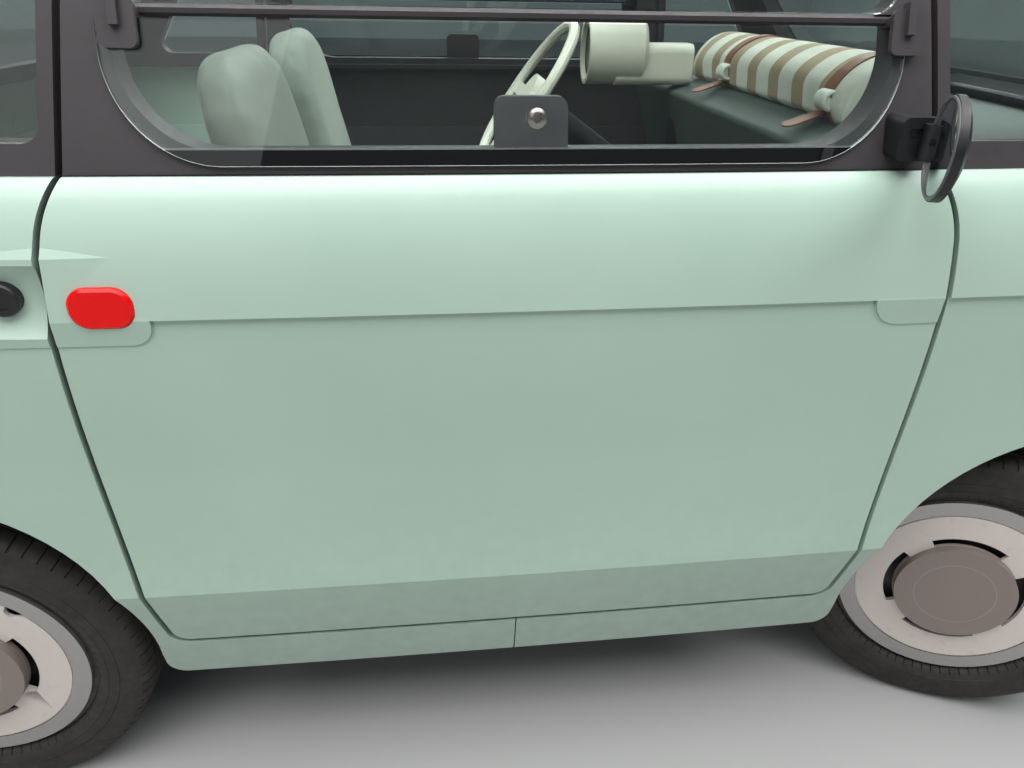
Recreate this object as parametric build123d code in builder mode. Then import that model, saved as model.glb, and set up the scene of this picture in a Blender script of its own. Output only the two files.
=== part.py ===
"""Two-seat electric microcar with a panelled body on a tubular chassis.

Frame: +X forward, +Y to the car's left, +Z up, origin on the ground below the middle of the car.
All sizes are millimetres. The two doors share one outline: the right one hangs at its front edge,
the left one at its rear edge.
"""
import os
from math import cos, radians, sin, sqrt, tan

from build123d import *

os.makedirs("parts", exist_ok=True)

# Overall sizes
LENGTH = 2535
WIDTH = 1400
HEIGHT = 1530
WHEELBASE = 1728
HALF_LENGTH = LENGTH / 2
HALF_WIDTH = WIDTH / 2
AXLE_X = WHEELBASE / 2

# Heights of the lines that run round the body
SILL_Z = 236
CREASE_LOW_Z = 444
CREASE_Z = 872
BELT_Z = 1025
ROOF_EDGE_Z = 1490

# Plan shape: how far the flanks and the ends bow between the corners
SIDE_BOW = 20
END_BOW = 65

# Wall thicknesses and running gaps
SKIN = 25
DOOR_THICK = 60
FRAME_THICK = 35
GLASS_THICK = 5
GLASS_SET = 2
SHEET = 8
SEAT_GAP = 0.3
PANEL_GAP = 4
DOOR_GAP = 8

# Door outline, seen from the side
DOOR_BOTTOM_Z = 328
DOOR_TOP_Z = 1440
DOOR_LOW_X = 524
DOOR_MID_X = 555
DOOR_MID_Z = 720
DOOR_HIGH_X = 546
DOOR_HIGH_Z = 930
DOOR_SHOULDER_X = 536
DOOR_SHOULDER_Z = 985
DOOR_BELT_X = 517
DOOR_TOP_X = 459
DOOR_CORNER_R = 24
DOOR_TOP_R = 60
DOOR_RAIL = 38

# Door hinges: a pin inside the skin near the door's edge, on a gooseneck arm from the body
HINGE_X = 515
HINGE_Y = 684
HINGE_HEIGHTS = (452, 890)
HINGE_PIN_R = 3.5
HINGE_EYE_R = 5
HINGE_ARM_HALF = 9
HINGE_PIN_HALF = 28
HINGE_POCKET_HALF = 15
HINGE_ARM_ENDS = (562, 585)
HINGE_REACH_Y = 52
HINGE_ARM_THICK = 12

# Flap window of the door, the round bar that it hangs from, its two clamps and its latch plate
BAR_Z = 1190
BAR_R = 6.5
BAR_FACES = 8
BAR_INSET = 7
FLAP_BOTTOM_Z = 1036
FLAP_TOP_Z = BAR_Z - BAR_R - 1
FLAP_HALF_X = 458
FLAP_FLARE = 10
FLAP_CORNER_R = 118
FLAP_LAP = 14
FLAP_OUT = 5.5
OPENING_R = 30
CLAMP_X = (-435, 457)
CLAMP_HALF = 20
CLAMP_LOW_Z = 1150
CLAMP_HIGH_Z = 1201
LATCH_X = (-36, 50)
LATCH_TOP_Z = 1108

# Pads pressed into the flank round the latch and the hinges. Each row: height, outside inset,
# further inset where the pad has faded, inside inset. Insets are from the overall width.
LATCH_PAD_ROWS = [
    (840, 3.5, 0, 20),
    (CREASE_Z, -0.4, 0, 20),
    (945, 8, 4.5, 28),
    (1004, 38, 0, 50),
]
HINGE_PAD_ROWS = [
    (836, 3.5, 0, 20),
    (CREASE_Z, -0.3, 0, 20),
    (950, 13, 0, 28),
]
LATCH_PAD_X = (-700, -441)
LATCH_PAD_FADES = [(-720, 1), (-545, 0), (-441, 1)]
LATCH_PAD_R = 26
HINGE_PAD_X = (455, 600)
HINGE_PAD_R = 40

# Finger pocket behind the door's latch edge, with a round push button in it
POCKET_END_X = -672
POCKET_SEAM_X = -535
POCKET_CEILING_Z = 938
POCKET_BACK_Z = 905
POCKET_FLOOR_Z = 850
POCKET_R = 30
POCKET_MOUTH_Y = -705
POCKET_TOP_Y = -686
POCKET_BACK_Y = -677
POCKET_LIP_Y = -694
BUTTON_X = -599
BUTTON_Z = 898
BUTTON_R = 20
BUTTON_DISH_R = 11
BUTTON_BEVEL = 2
BUTTON_BACK_Y = 672
BUTTON_FACE_Y = 690

# Reflector let into the latch pad
REFLECTOR_X = -491
REFLECTOR_Z = 888
REFLECTOR_WIDTH = 72
REFLECTOR_HEIGHT = 49
REFLECTOR_R = 22
REFLECTOR_FLOOR_Y = 690
REFLECTOR_FACE_Y = 699
REFLECTOR_BEVEL = 3

# Window outlines: corner points in the view from the front or from the side
SCREEN_POINTS = [(-530, 1062), (530, 1062), (430, 1452), (-430, 1452)]
SCREEN_R = 55
QUARTER_POINTS = [(537, 1058), (786, 1058), (560, 1396), (491, 1396)]
QUARTER_R = 22
ROOF_PANE_X = 790
ROOF_PANE_Y = 740
ROOF_PANE_R = 70

# Wheel arches and their liners
ARCH_R = 308
ARCH_Z = 322
ARCH_FOOT_HALF = 306
ARCH_FOOT_R = 28
SWEEP_R = 318
SWEEP_OUT_Y = 590
LINER_R = 325
LINER_Z = 310
LINER_IN_Y = 332

# Wheels, tyres and steering
TYRE_R = 278.5
TYRE_WIDTH = 155
BEAD_R = 197
BEAD_RISE = 9
TREAD_BEVEL = 13
RIM_HALF = 62
RIM_THICK = 5
HUB_Y = 582.5
KINGPIN_Y = 500
PARKED_STEER = -25
COVER_R = 189
COVER_RING_R = 163
CAP_R = 97
SPINDLE_R = 20
BEARING_GAP = 0.05
RUN_GAP = 0.5

# Nose and tail panels take the middle of each end
END_PANEL_HALF = 520
END_PANEL_X = 760

# Chassis
RAIL_Y = 300
RAIL_WIDTH = 44
RAIL_LOW_Z = 195
FLOOR_Z = 262
FLOOR_HALF = 585

# Lamps: a round body in a hole, under a flange that lies in a shallow seat
LAMP_X = 1230.5
LAMP_Y = 400
LAMP_Z = 705
LAMP_YAW = 6.6
LAMP_PITCH = 8
LAMP_DEPTH = 60
LAMP_BODY_R = 66
LAMP_FLANGE_R = 80
LAMP_LENS_R = 70
LAMP_SEAT_DEPTH = 2
LAMP_RING_HEIGHT = 8
LAMP_DOME = 12

# Each level: height, side inset, end inset, corner radius. Insets are from the overall box.
SKIRT_LEVELS = [
    (SILL_Z, 46, 24, 110),
    (330, 26, 10, 125),
    (CREASE_LOW_Z, 0, 0, 135),
]
FLANK_LEVELS = [
    (CREASE_LOW_Z, 0, 0, 135),
    (520, 9, 2, 137),
    (700, 10, 14, 140),
    (CREASE_Z, 5, 50, 145),
]
SHOULDER_LEVELS = [
    (CREASE_Z, 0, 45, 145),
    (950, 12, 96, 150),
    (BELT_Z, 46, 250, 155),
]
CABIN_LEVELS = [
    (BELT_Z + SEAT_GAP, 52, 256, 150),
    (1200, 98, 424, 140),
    (1400, 160, 606, 130),
    (ROOF_EDGE_Z, 193, 696, 120),
]
# Hidden rise of the inner door and pillar shells above the belt, into the greenhouse frame
LAP_LEVELS = [
    (BELT_Z, 46, 250, 155),
    (BELT_Z + 10, 50, 262, 152),
]
ROOF_LEVELS = [
    (ROOF_EDGE_Z, 193, 696, 120),
    (1513, 231, 743, 115),
    (HEIGHT, 300, 830, 110),
]


def hull(levels, inset=0, roof_drop=0):
    """Closed hull through the levels, drawn in all round by an inset."""
    with BuildPart() as solid:
        for z, side_in, end_in, corner in levels:
            side = HALF_WIDTH - side_in - inset
            end = HALF_LENGTH - end_in - inset
            corner_x, corner_y = end - END_BOW, side - SIDE_BOW
            level = z - roof_drop if z >= ROOF_EDGE_Z else z
            with BuildSketch(Plane.XY.offset(level)) as outline:
                with BuildLine():
                    ThreePointArc((corner_x, -corner_y), (end, 0), (corner_x, corner_y))
                    ThreePointArc((corner_x, corner_y), (0, side), (-corner_x, corner_y))
                    ThreePointArc((-corner_x, corner_y), (-end, 0), (-corner_x, -corner_y))
                    ThreePointArc((-corner_x, -corner_y), (0, -side), (corner_x, -corner_y))
                make_face()
                fillet(outline.vertices(), corner - inset)
        loft()
    return solid.part


def body_hull(inset=0, lapped=False):
    """Lower body from the sill to the belt, with its two creases."""
    with BuildPart() as solid:
        for levels in (SKIRT_LEVELS, FLANK_LEVELS, SHOULDER_LEVELS):
            add(hull(levels, inset))
        if lapped:
            add(hull(LAP_LEVELS, inset))
    return solid.part


def cabin_hull(inset=0):
    """Greenhouse from the belt to the roof."""
    with BuildPart() as solid:
        for levels in (CABIN_LEVELS, ROOF_LEVELS):
            add(hull(levels, inset, roof_drop=inset))
    return solid.part


def shell(outer, inner):
    """What lies between two hulls."""
    with BuildPart() as solid:
        add(outer)
        add(inner, mode=Mode.SUBTRACT)
    return solid.part


def door_prism(grow=0):
    """Right-hand door outline cut through the flank, grown or shrunk all round."""
    low_x, low_z = DOOR_LOW_X + grow, DOOR_BOTTOM_Z - grow
    high_x = DOOR_HIGH_X + grow
    belt_x = DOOR_BELT_X + grow
    top_x, top_z = DOOR_TOP_X + grow, DOOR_TOP_Z + grow
    with BuildPart() as solid:
        with BuildSketch(FLANK_PLANE) as outline:
            with BuildLine():
                for side in (-1, 1):
                    ThreePointArc(
                        (side * low_x, low_z),
                        (side * (DOOR_MID_X + grow), DOOR_MID_Z),
                        (side * high_x, DOOR_HIGH_Z),
                    )
                    ThreePointArc(
                        (side * high_x, DOOR_HIGH_Z),
                        (side * (DOOR_SHOULDER_X + grow), DOOR_SHOULDER_Z),
                        (side * belt_x, BELT_Z),
                    )
                    Line((side * belt_x, BELT_Z), (side * top_x, top_z))
                Line((-low_x, low_z), (low_x, low_z))
                Line((-top_x, top_z), (top_x, top_z))
            make_face()
            fillet(outline.vertices().group_by(Axis.Y)[0], DOOR_CORNER_R + grow)
            fillet(outline.vertices().group_by(Axis.Y)[-1], DOOR_TOP_R + grow)
        extrude(amount=HALF_WIDTH)
    return solid.part


def window_prism(points, radius, plane, shrink=0):
    """Window outline with rounded corners, as a long prism out of the car."""
    with BuildPart() as solid:
        with BuildSketch(plane) as outline:
            with BuildLine():
                Polyline(*points, close=True)
            make_face()
            fillet(outline.vertices(), radius)
            if shrink:
                offset(amount=-shrink, kind=Kind.INTERSECTION)
        extrude(amount=HALF_LENGTH)
    return solid.part


def block(low_x, high_x, low_z, high_z):
    """Corner points of a rectangle."""
    return [(low_x, low_z), (high_x, low_z), (high_x, high_z), (low_x, high_z)]


def side_y(levels, z, x, inset=0):
    """How far a hull's flank lies from the middle plane, at a height and a place along the car."""
    for low, high in zip(levels, levels[1:]):
        if z <= high[0]:
            share = (z - low[0]) / (high[0] - low[0])
            side_in, end_in = (low[i] + share * (high[i] - low[i]) for i in (1, 2))
            break
    corner_x = HALF_LENGTH - end_in - inset - END_BOW
    return HALF_WIDTH - side_in - inset - SIDE_BOW * (x / corner_x) ** 2


def side_pad(rows, fades, span, radius):
    """Pad pressed proud of the right flank over a span, with rounded lower corners."""
    low_x, high_x = span
    with BuildPart() as solid:
        for x, faded in fades:
            middle = side_y(FLANK_LEVELS, CREASE_Z, x) + FLANK_LEVELS[-1][1]
            outside = [(inset + faded * fade - middle, z) for z, inset, fade, _ in rows]
            inside = [(depth - middle, z) for z, _, _, depth in reversed(rows)]
            with BuildSketch(Plane.YZ.offset(x)):
                with BuildLine():
                    Polyline(*outside, *inside, close=True)
                make_face()
        loft(ruled=True)
        with BuildSketch(FLANK_PLANE) as outline:
            with BuildLine():
                Polyline(*block(low_x, high_x, rows[0][0], HEIGHT), close=True)
            make_face()
            fillet(outline.vertices().group_by(Axis.Y)[0], radius)
        extrude(amount=HALF_WIDTH, mode=Mode.INTERSECT)
    return solid.part


def common(shape, cutter):
    """What two shapes share."""
    with BuildPart() as solid:
        add(shape)
        add(cutter, mode=Mode.INTERSECT)
    return solid.part


def strip(points, radius, plane, outer, inner):
    """Piece of a layer of the greenhouse, between two insets and inside an outline."""
    layer = shell(hull(CABIN_LEVELS, outer), hull(CABIN_LEVELS, inner))
    return common(layer, window_prism(points, radius, plane))


def flipped(shape):
    """The same shape on the other side of the car."""
    return mirror(shape, about=Plane.XZ)


def turned(shape, pivot, degrees, direction=(0, 0, 1)):
    """The shape turned about an axis through a pivot."""
    return shape.rotate(Axis(pivot, direction), degrees)


# Planes that the outlines are drawn on
FLANK_PLANE = Plane.XZ.offset(200)
FRONT_PLANE = Plane.YZ.offset(300)
REAR_PLANE = Plane(origin=(-300, 0, 0), x_dir=(0, -1, 0), z_dir=(-1, 0, 0))

# Shells that the body's pieces are cut from
body_shell = shell(body_hull(), body_hull(SKIN))
cabin_shell = shell(cabin_hull(), cabin_hull(FRAME_THICK))
pane_shell = shell(cabin_hull(GLASS_SET), cabin_hull(GLASS_SET + GLASS_THICK))
inner_shell = shell(body_hull(SKIN + SEAT_GAP, True), body_hull(DOOR_THICK, True))
door_shape = door_prism()
door_cut = door_prism(DOOR_GAP)

# Wheel arch cutters through both flanks, with rounded feet
with BuildPart() as arches:
    for end in (-1, 1):
        with BuildSketch(Plane.XZ.offset(LINER_IN_Y)):
            for side in (-1, 1):
                foot_x = end * AXLE_X + side * ARCH_FOOT_HALF
                with Locations((foot_x, SILL_Z)):
                    Rectangle(2 * ARCH_FOOT_R, 2 * ARCH_FOOT_R)
                with Locations((foot_x + side * ARCH_FOOT_R, SILL_Z + ARCH_FOOT_R)):
                    Circle(ARCH_FOOT_R, mode=Mode.SUBTRACT)
            with Locations((end * AXLE_X, ARCH_Z)):
                Circle(ARCH_R)
            with Locations((end * AXLE_X, ARCH_Z - ARCH_R / 2)):
                Rectangle(2 * ARCH_FOOT_HALF, ARCH_R)
        extrude(amount=HALF_WIDTH)
        with BuildSketch(Plane.XZ.offset(LINER_IN_Y)):
            with Locations((end * AXLE_X, LINER_Z)):
                Circle(SWEEP_R)
            with Locations((end * AXLE_X, LINER_Z - ARCH_R / 2)):
                Rectangle(2 * SWEEP_R, ARCH_R)
        extrude(amount=SWEEP_OUT_Y - LINER_IN_Y)
    mirror(about=Plane.XZ)


# Pads, finger pocket and button of the latch
latch_pad = side_pad(LATCH_PAD_ROWS, LATCH_PAD_FADES, LATCH_PAD_X, LATCH_PAD_R)
hinge_pad = side_pad(HINGE_PAD_ROWS, [(x, 0) for x in HINGE_PAD_X], HINGE_PAD_X, HINGE_PAD_R)
with BuildPart() as finger_pocket:
    with BuildSketch(Plane.YZ.offset(POCKET_END_X)):
        with BuildLine():
            Polyline(
                (POCKET_LIP_Y, POCKET_FLOOR_Z),
                (POCKET_MOUTH_Y, POCKET_FLOOR_Z),
                (POCKET_MOUTH_Y, POCKET_CEILING_Z),
                (POCKET_TOP_Y, POCKET_CEILING_Z),
            )
            ThreePointArc(
                (POCKET_TOP_Y, POCKET_CEILING_Z),
                (POCKET_BACK_Y, POCKET_BACK_Z),
                (POCKET_LIP_Y, POCKET_FLOOR_Z),
            )
        make_face()
    extrude(amount=POCKET_SEAM_X - POCKET_END_X)
    add(
        window_prism(
            block(POCKET_END_X, 0, POCKET_FLOOR_Z, POCKET_CEILING_Z), POCKET_R, FLANK_PLANE
        ),
        mode=Mode.INTERSECT,
    )
with BuildPart() as button:
    with BuildSketch(Plane.XZ.offset(BUTTON_BACK_Y)):
        with Locations((BUTTON_X, BUTTON_Z)):
            Circle(BUTTON_R)
    extrude(amount=BUTTON_FACE_Y - BUTTON_BACK_Y)
    chamfer(button.faces().sort_by(Axis.Y)[0].edges(), BUTTON_BEVEL)
    with BuildSketch(Plane.XZ.offset(BUTTON_FACE_Y)):
        with Locations((BUTTON_X, BUTTON_Z)):
            Circle(BUTTON_DISH_R)
    extrude(amount=-BUTTON_BEVEL, mode=Mode.SUBTRACT)
with BuildPart() as button_bore:
    with BuildSketch(Plane.XZ.offset(BUTTON_BACK_Y - SEAT_GAP)):
        with Locations((BUTTON_X, BUTTON_Z)):
            Circle(BUTTON_R + SEAT_GAP)
    extrude(amount=HALF_WIDTH - BUTTON_BACK_Y)
with BuildPart() as door_buttons:
    add(button.part)
    add(turned(button.part, (0, 0, 0), 180))
door_buttons.part.label = "door_buttons"
export_step(door_buttons.part, "parts/door_buttons.step")


def lamp_plane(end, side):
    """Plane across a lamp, square to the panel that it is let into."""
    yaw, pitch = radians(LAMP_YAW), radians(LAMP_PITCH)
    return Plane(
        origin=(end * LAMP_X, side * LAMP_Y, LAMP_Z),
        x_dir=(-end * side * sin(yaw), cos(yaw), 0),
        z_dir=(end * cos(pitch) * cos(yaw), side * cos(pitch) * sin(yaw), sin(pitch)),
    )


# Round hole for a lamp, with a shallow seat for its flange, drawn at the origin
with BuildPart() as lamp_hole:
    with BuildSketch(Plane.XY.offset(-LAMP_DEPTH)):
        Circle(LAMP_BODY_R + SEAT_GAP)
    extrude(amount=2 * LAMP_DEPTH)
    with BuildSketch(Plane.XY.offset(-LAMP_SEAT_DEPTH - SEAT_GAP)):
        Circle(LAMP_FLANGE_R + SEAT_GAP)
    extrude(amount=LAMP_DEPTH)


def end_region(end, shrink):
    """Block that holds the nose panel (end=1) or the tail panel (end=-1)."""
    with BuildPart() as solid:
        with BuildSketch():
            with Locations((end * (END_PANEL_X + shrink + HALF_LENGTH / 2), 0)):
                Rectangle(HALF_LENGTH, 2 * (END_PANEL_HALF - shrink))
        extrude(amount=HEIGHT)
    return solid.part


def end_panel(end):
    """Nose or tail panel with its two round lamp holes."""
    with BuildPart() as panel:
        add(body_shell)
        add(end_region(end, PANEL_GAP / 2), mode=Mode.INTERSECT)
        add(arches.part, mode=Mode.SUBTRACT)
        for side in (-1, 1):
            add(lamp_hole.part.moved(lamp_plane(end, side).location), mode=Mode.SUBTRACT)
    return panel.part


def corner_panel(end):
    """Right-hand corner panel with its wheel arch and half of the sill; the rear one takes the latch."""
    with BuildPart() as panel:
        add(body_shell)
        with BuildSketch():
            with Locations((end * (PANEL_GAP / 4 + HALF_LENGTH / 2), -HALF_WIDTH / 2)):
                Rectangle(HALF_LENGTH, HALF_WIDTH)
        extrude(amount=HEIGHT, mode=Mode.INTERSECT)
        if end < 0:
            add(latch_pad)
            add(finger_pocket.part, mode=Mode.SUBTRACT)
            add(button_bore.part, mode=Mode.SUBTRACT)
        add(end_region(end, -PANEL_GAP / 2), mode=Mode.SUBTRACT)
        add(door_cut, mode=Mode.SUBTRACT)
        add(arches.part, mode=Mode.SUBTRACT)
    return panel.part


# Body panels
nose_panel = end_panel(1)
nose_panel.label = "nose_panel"
export_step(nose_panel, "parts/nose_panel.step")

tail_panel = end_panel(-1)
tail_panel.label = "tail_panel"
export_step(tail_panel, "parts/tail_panel.step")

with BuildPart() as corner_panels:
    for end in (-1, 1):
        panel = corner_panel(end)
        add(panel)
        add(turned(panel, (0, 0, 0), 180))
corner_panels.part.label = "corner_panels"
export_step(corner_panels.part, "parts/corner_panels.step")

# Greenhouse frame: roof surround, screen pillars and the door pillars below the belt
PILLAR_LOW_Z = 660
PILLAR_WIDTH = 46
screen_cut = window_prism(SCREEN_POINTS, SCREEN_R, FRONT_PLANE)
rear_cut = window_prism(SCREEN_POINTS, SCREEN_R, REAR_PLANE)
quarter_outlines = [[(end * x, z) for x, z in QUARTER_POINTS] for end in (-1, 1)]
with BuildPart() as pillars:
    add(inner_shell)
    add(door_prism(DOOR_GAP + PILLAR_WIDTH), mode=Mode.INTERSECT)
    add(door_cut, mode=Mode.SUBTRACT)
    with BuildSketch(Plane.XY.offset(PILLAR_LOW_Z)):
        Rectangle(LENGTH, WIDTH)
    extrude(amount=BELT_Z + 20 - PILLAR_LOW_Z, mode=Mode.INTERSECT)
with BuildPart() as roof_opening:
    with BuildSketch(Plane.XY.offset(ROOF_EDGE_Z - 2 * FRAME_THICK)):
        RectangleRounded(ROOF_PANE_X, ROOF_PANE_Y, ROOF_PANE_R)
    extrude(amount=HEIGHT - ROOF_EDGE_Z + 3 * FRAME_THICK)
with BuildPart() as greenhouse_frame:
    add(cabin_shell)
    add(pillars.part)
    add(flipped(pillars.part))
    for outline in quarter_outlines:
        quarter_cut = window_prism(outline, QUARTER_R, FLANK_PLANE)
        add(quarter_cut, mode=Mode.SUBTRACT)
        add(flipped(quarter_cut), mode=Mode.SUBTRACT)
    for cutter in (screen_cut, rear_cut, roof_opening.part, door_cut, flipped(door_cut)):
        add(cutter, mode=Mode.SUBTRACT)
greenhouse_frame.part.label = "greenhouse_frame"
export_step(greenhouse_frame.part, "parts/greenhouse_frame.step")

# Fixed glass
with BuildPart() as windscreen:
    add(pane_shell)
    add(window_prism(SCREEN_POINTS, SCREEN_R, FRONT_PLANE, SEAT_GAP), mode=Mode.INTERSECT)
windscreen.part.label = "windscreen"
export_step(windscreen.part, "parts/windscreen.step")

with BuildPart() as rear_window:
    add(pane_shell)
    add(window_prism(SCREEN_POINTS, SCREEN_R, REAR_PLANE, SEAT_GAP), mode=Mode.INTERSECT)
rear_window.part.label = "rear_window"
export_step(rear_window.part, "parts/rear_window.step")

with BuildPart() as roof_glass:
    add(pane_shell)
    with BuildSketch(Plane.XY.offset(ROOF_EDGE_Z - 2 * FRAME_THICK)):
        RectangleRounded(
            ROOF_PANE_X - 2 * SEAT_GAP, ROOF_PANE_Y - 2 * SEAT_GAP, ROOF_PANE_R - SEAT_GAP
        )
    extrude(amount=HEIGHT - ROOF_EDGE_Z + 3 * FRAME_THICK, mode=Mode.INTERSECT)
roof_glass.part.label = "roof_glass"
export_step(roof_glass.part, "parts/roof_glass.step")

with BuildPart() as quarter_glasses:
    for outline in quarter_outlines:
        pane = common(pane_shell, window_prism(outline, QUARTER_R, FLANK_PLANE, SEAT_GAP))
        add(pane)
        add(flipped(pane))
quarter_glasses.part.label = "quarter_glasses"
export_step(quarter_glasses.part, "parts/quarter_glasses.step")

# Door hinges of the right-hand door, fixed to the pillar and to the corner panel
HINGE_FOOT_WIDTH = 14
foot_seat = shell(body_hull(), body_hull(SKIN + SEAT_GAP))
with BuildPart() as foot_space:
    add(foot_seat)
    with BuildSketch():
        with Locations((HINGE_ARM_ENDS[0], -HALF_WIDTH)):
            Rectangle(2 * HINGE_FOOT_WIDTH, HALF_WIDTH)
    extrude(amount=HEIGHT, mode=Mode.INTERSECT)
with BuildPart() as hinges:
    for z, arm_end in zip(HINGE_HEIGHTS, HINGE_ARM_ENDS):
        arm_start = HINGE_X - HINGE_EYE_R
        with BuildSketch(Plane.XY.offset(z - HINGE_ARM_HALF)):
            with Locations((HINGE_X, -HINGE_Y)):
                Circle(HINGE_EYE_R)
            with Locations((HINGE_X, -HINGE_Y + HINGE_REACH_Y / 2)):
                Rectangle(2 * HINGE_EYE_R, HINGE_REACH_Y)
            with Locations(((arm_start + arm_end) / 2, -HINGE_Y + HINGE_REACH_Y - HINGE_ARM_THICK / 2)):
                Rectangle(arm_end - arm_start, HINGE_ARM_THICK)
        extrude(amount=2 * HINGE_ARM_HALF)
        with BuildSketch(Plane.XY.offset(z - HINGE_PIN_HALF)):
            with Locations((HINGE_X, -HINGE_Y)):
                Circle(HINGE_PIN_R)
        extrude(amount=2 * HINGE_PIN_HALF)
    with BuildSketch(Plane.XY.offset(HINGE_HEIGHTS[0] - HINGE_ARM_HALF)):
        with Locations((HINGE_ARM_ENDS[0] - HINGE_FOOT_WIDTH / 2, -HINGE_Y + HINGE_REACH_Y / 2)):
            Rectangle(HINGE_FOOT_WIDTH, HINGE_REACH_Y)
    extrude(amount=2 * HINGE_ARM_HALF)
    add(foot_space.part, mode=Mode.SUBTRACT)
    add(pillars.part, mode=Mode.SUBTRACT)
with BuildPart() as hinge_pockets:
    for z in HINGE_HEIGHTS:
        with BuildSketch(Plane.XY.offset(z - HINGE_POCKET_HALF)):
            with Locations((HINGE_X + 31, -HINGE_Y + 42)):
                Rectangle(80, 95)
        extrude(amount=2 * HINGE_POCKET_HALF)
        with BuildSketch(Plane.XY.offset(z - HINGE_PIN_HALF - 1)):
            with Locations((HINGE_X, -HINGE_Y)):
                Circle(HINGE_PIN_R + BEARING_GAP)
        extrude(amount=2 * HINGE_PIN_HALF + 2)
with BuildPart() as door_hinges:
    add(hinges.part)
    add(turned(hinges.part, (0, 0, 0), 180))
door_hinges.part.label = "door_hinges"
export_step(door_hinges.part, "parts/door_hinges.step")

# Door: outer panel below the belt, dark frame with the inner panel, and its two panes
with BuildPart() as door_panel:
    add(body_shell)
    add(latch_pad)
    add(hinge_pad)
    add(door_shape, mode=Mode.INTERSECT)
    add(hinge_pockets.part, mode=Mode.SUBTRACT)
    with BuildSketch(Plane.XZ.offset(REFLECTOR_FLOOR_Y)):
        with Locations((REFLECTOR_X, REFLECTOR_Z)):
            RectangleRounded(
                REFLECTOR_WIDTH + 2 * SEAT_GAP, REFLECTOR_HEIGHT + 2 * SEAT_GAP, REFLECTOR_R + SEAT_GAP
            )
    extrude(amount=HALF_WIDTH - REFLECTOR_FLOOR_Y, mode=Mode.SUBTRACT)
with BuildPart() as door_reflector:
    with BuildSketch(Plane.XZ.offset(REFLECTOR_FLOOR_Y + SEAT_GAP)):
        with Locations((REFLECTOR_X, REFLECTOR_Z)):
            RectangleRounded(REFLECTOR_WIDTH, REFLECTOR_HEIGHT, REFLECTOR_R)
    extrude(amount=REFLECTOR_FACE_Y - REFLECTOR_FLOOR_Y - SEAT_GAP)
    chamfer(door_reflector.faces().sort_by(Axis.Y)[0].edges(), REFLECTOR_BEVEL)


def door_x(z, inset):
    """Half width of the door outline above the belt, drawn in by an inset."""
    lean = (DOOR_BELT_X - DOOR_TOP_X) / (DOOR_TOP_Z - BELT_Z)
    return DOOR_BELT_X - (z - BELT_Z) * lean - inset


def opening_prism(low_z, high_z, radius, shrink=0):
    """Window opening of the door between two heights."""
    low_x, high_x = door_x(low_z, DOOR_RAIL), door_x(high_z, DOOR_RAIL)
    points = [(-low_x, low_z), (low_x, low_z), (high_x, high_z), (-high_x, high_z)]
    return window_prism(points, radius, FLANK_PLANE, shrink)


def flap_prism(inset, top_z):
    """Flap outline with its large lower corners, drawn in by an inset, up to a height."""
    low_half, high_half = FLAP_HALF_X + FLAP_FLARE - inset, FLAP_HALF_X - inset
    with BuildPart() as solid:
        with BuildSketch(FLANK_PLANE) as outline:
            with BuildLine():
                Polyline(
                    (-low_half, FLAP_BOTTOM_Z + inset),
                    (low_half, FLAP_BOTTOM_Z + inset),
                    (high_half, top_z),
                    (-high_half, top_z),
                    close=True,
                )
            make_face()
            fillet(outline.vertices().group_by(Axis.Y)[0], FLAP_CORNER_R - inset)
        extrude(amount=HALF_WIDTH)
    return solid.part


upper_low_z, upper_high_z = BAR_Z + BAR_R, DOOR_TOP_Z - DOOR_RAIL
upper_opening = opening_prism(upper_low_z, upper_high_z, OPENING_R)
door_top_frame = common(cabin_shell, door_shape)
door_inner = common(inner_shell, door_shape)
bar_half = door_x(BAR_Z, DOOR_RAIL / 3)
bar_end_y, bar_middle_y = (side_y(CABIN_LEVELS, BAR_Z, x, BAR_INSET) for x in (bar_half, 0))
with BuildPart() as flap_bar:
    with BuildLine():
        bar_path = ThreePointArc(
            (-bar_half, -bar_end_y, BAR_Z), (0, -bar_middle_y, BAR_Z), (bar_half, -bar_end_y, BAR_Z)
        )
    with BuildSketch(Plane(origin=bar_path @ 0, z_dir=bar_path % 0)):
        RegularPolygon(BAR_R, BAR_FACES, rotation=180 / BAR_FACES)
    sweep()


def clamp_plane(x):
    """Plane that lies on the greenhouse flank behind a clamp of the flap."""
    y, above_y, beside_y = (
        side_y(CABIN_LEVELS, z, at_x)
        for z, at_x in ((CLAMP_Z, x), (CLAMP_Z + 1, x), (CLAMP_Z, x + 1))
    )
    along, up = Vector(1, y - beside_y, 0), Vector(0, y - above_y, 1)
    return Plane(origin=(x, -y, CLAMP_Z), x_dir=along, z_dir=along.cross(up))


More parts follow.
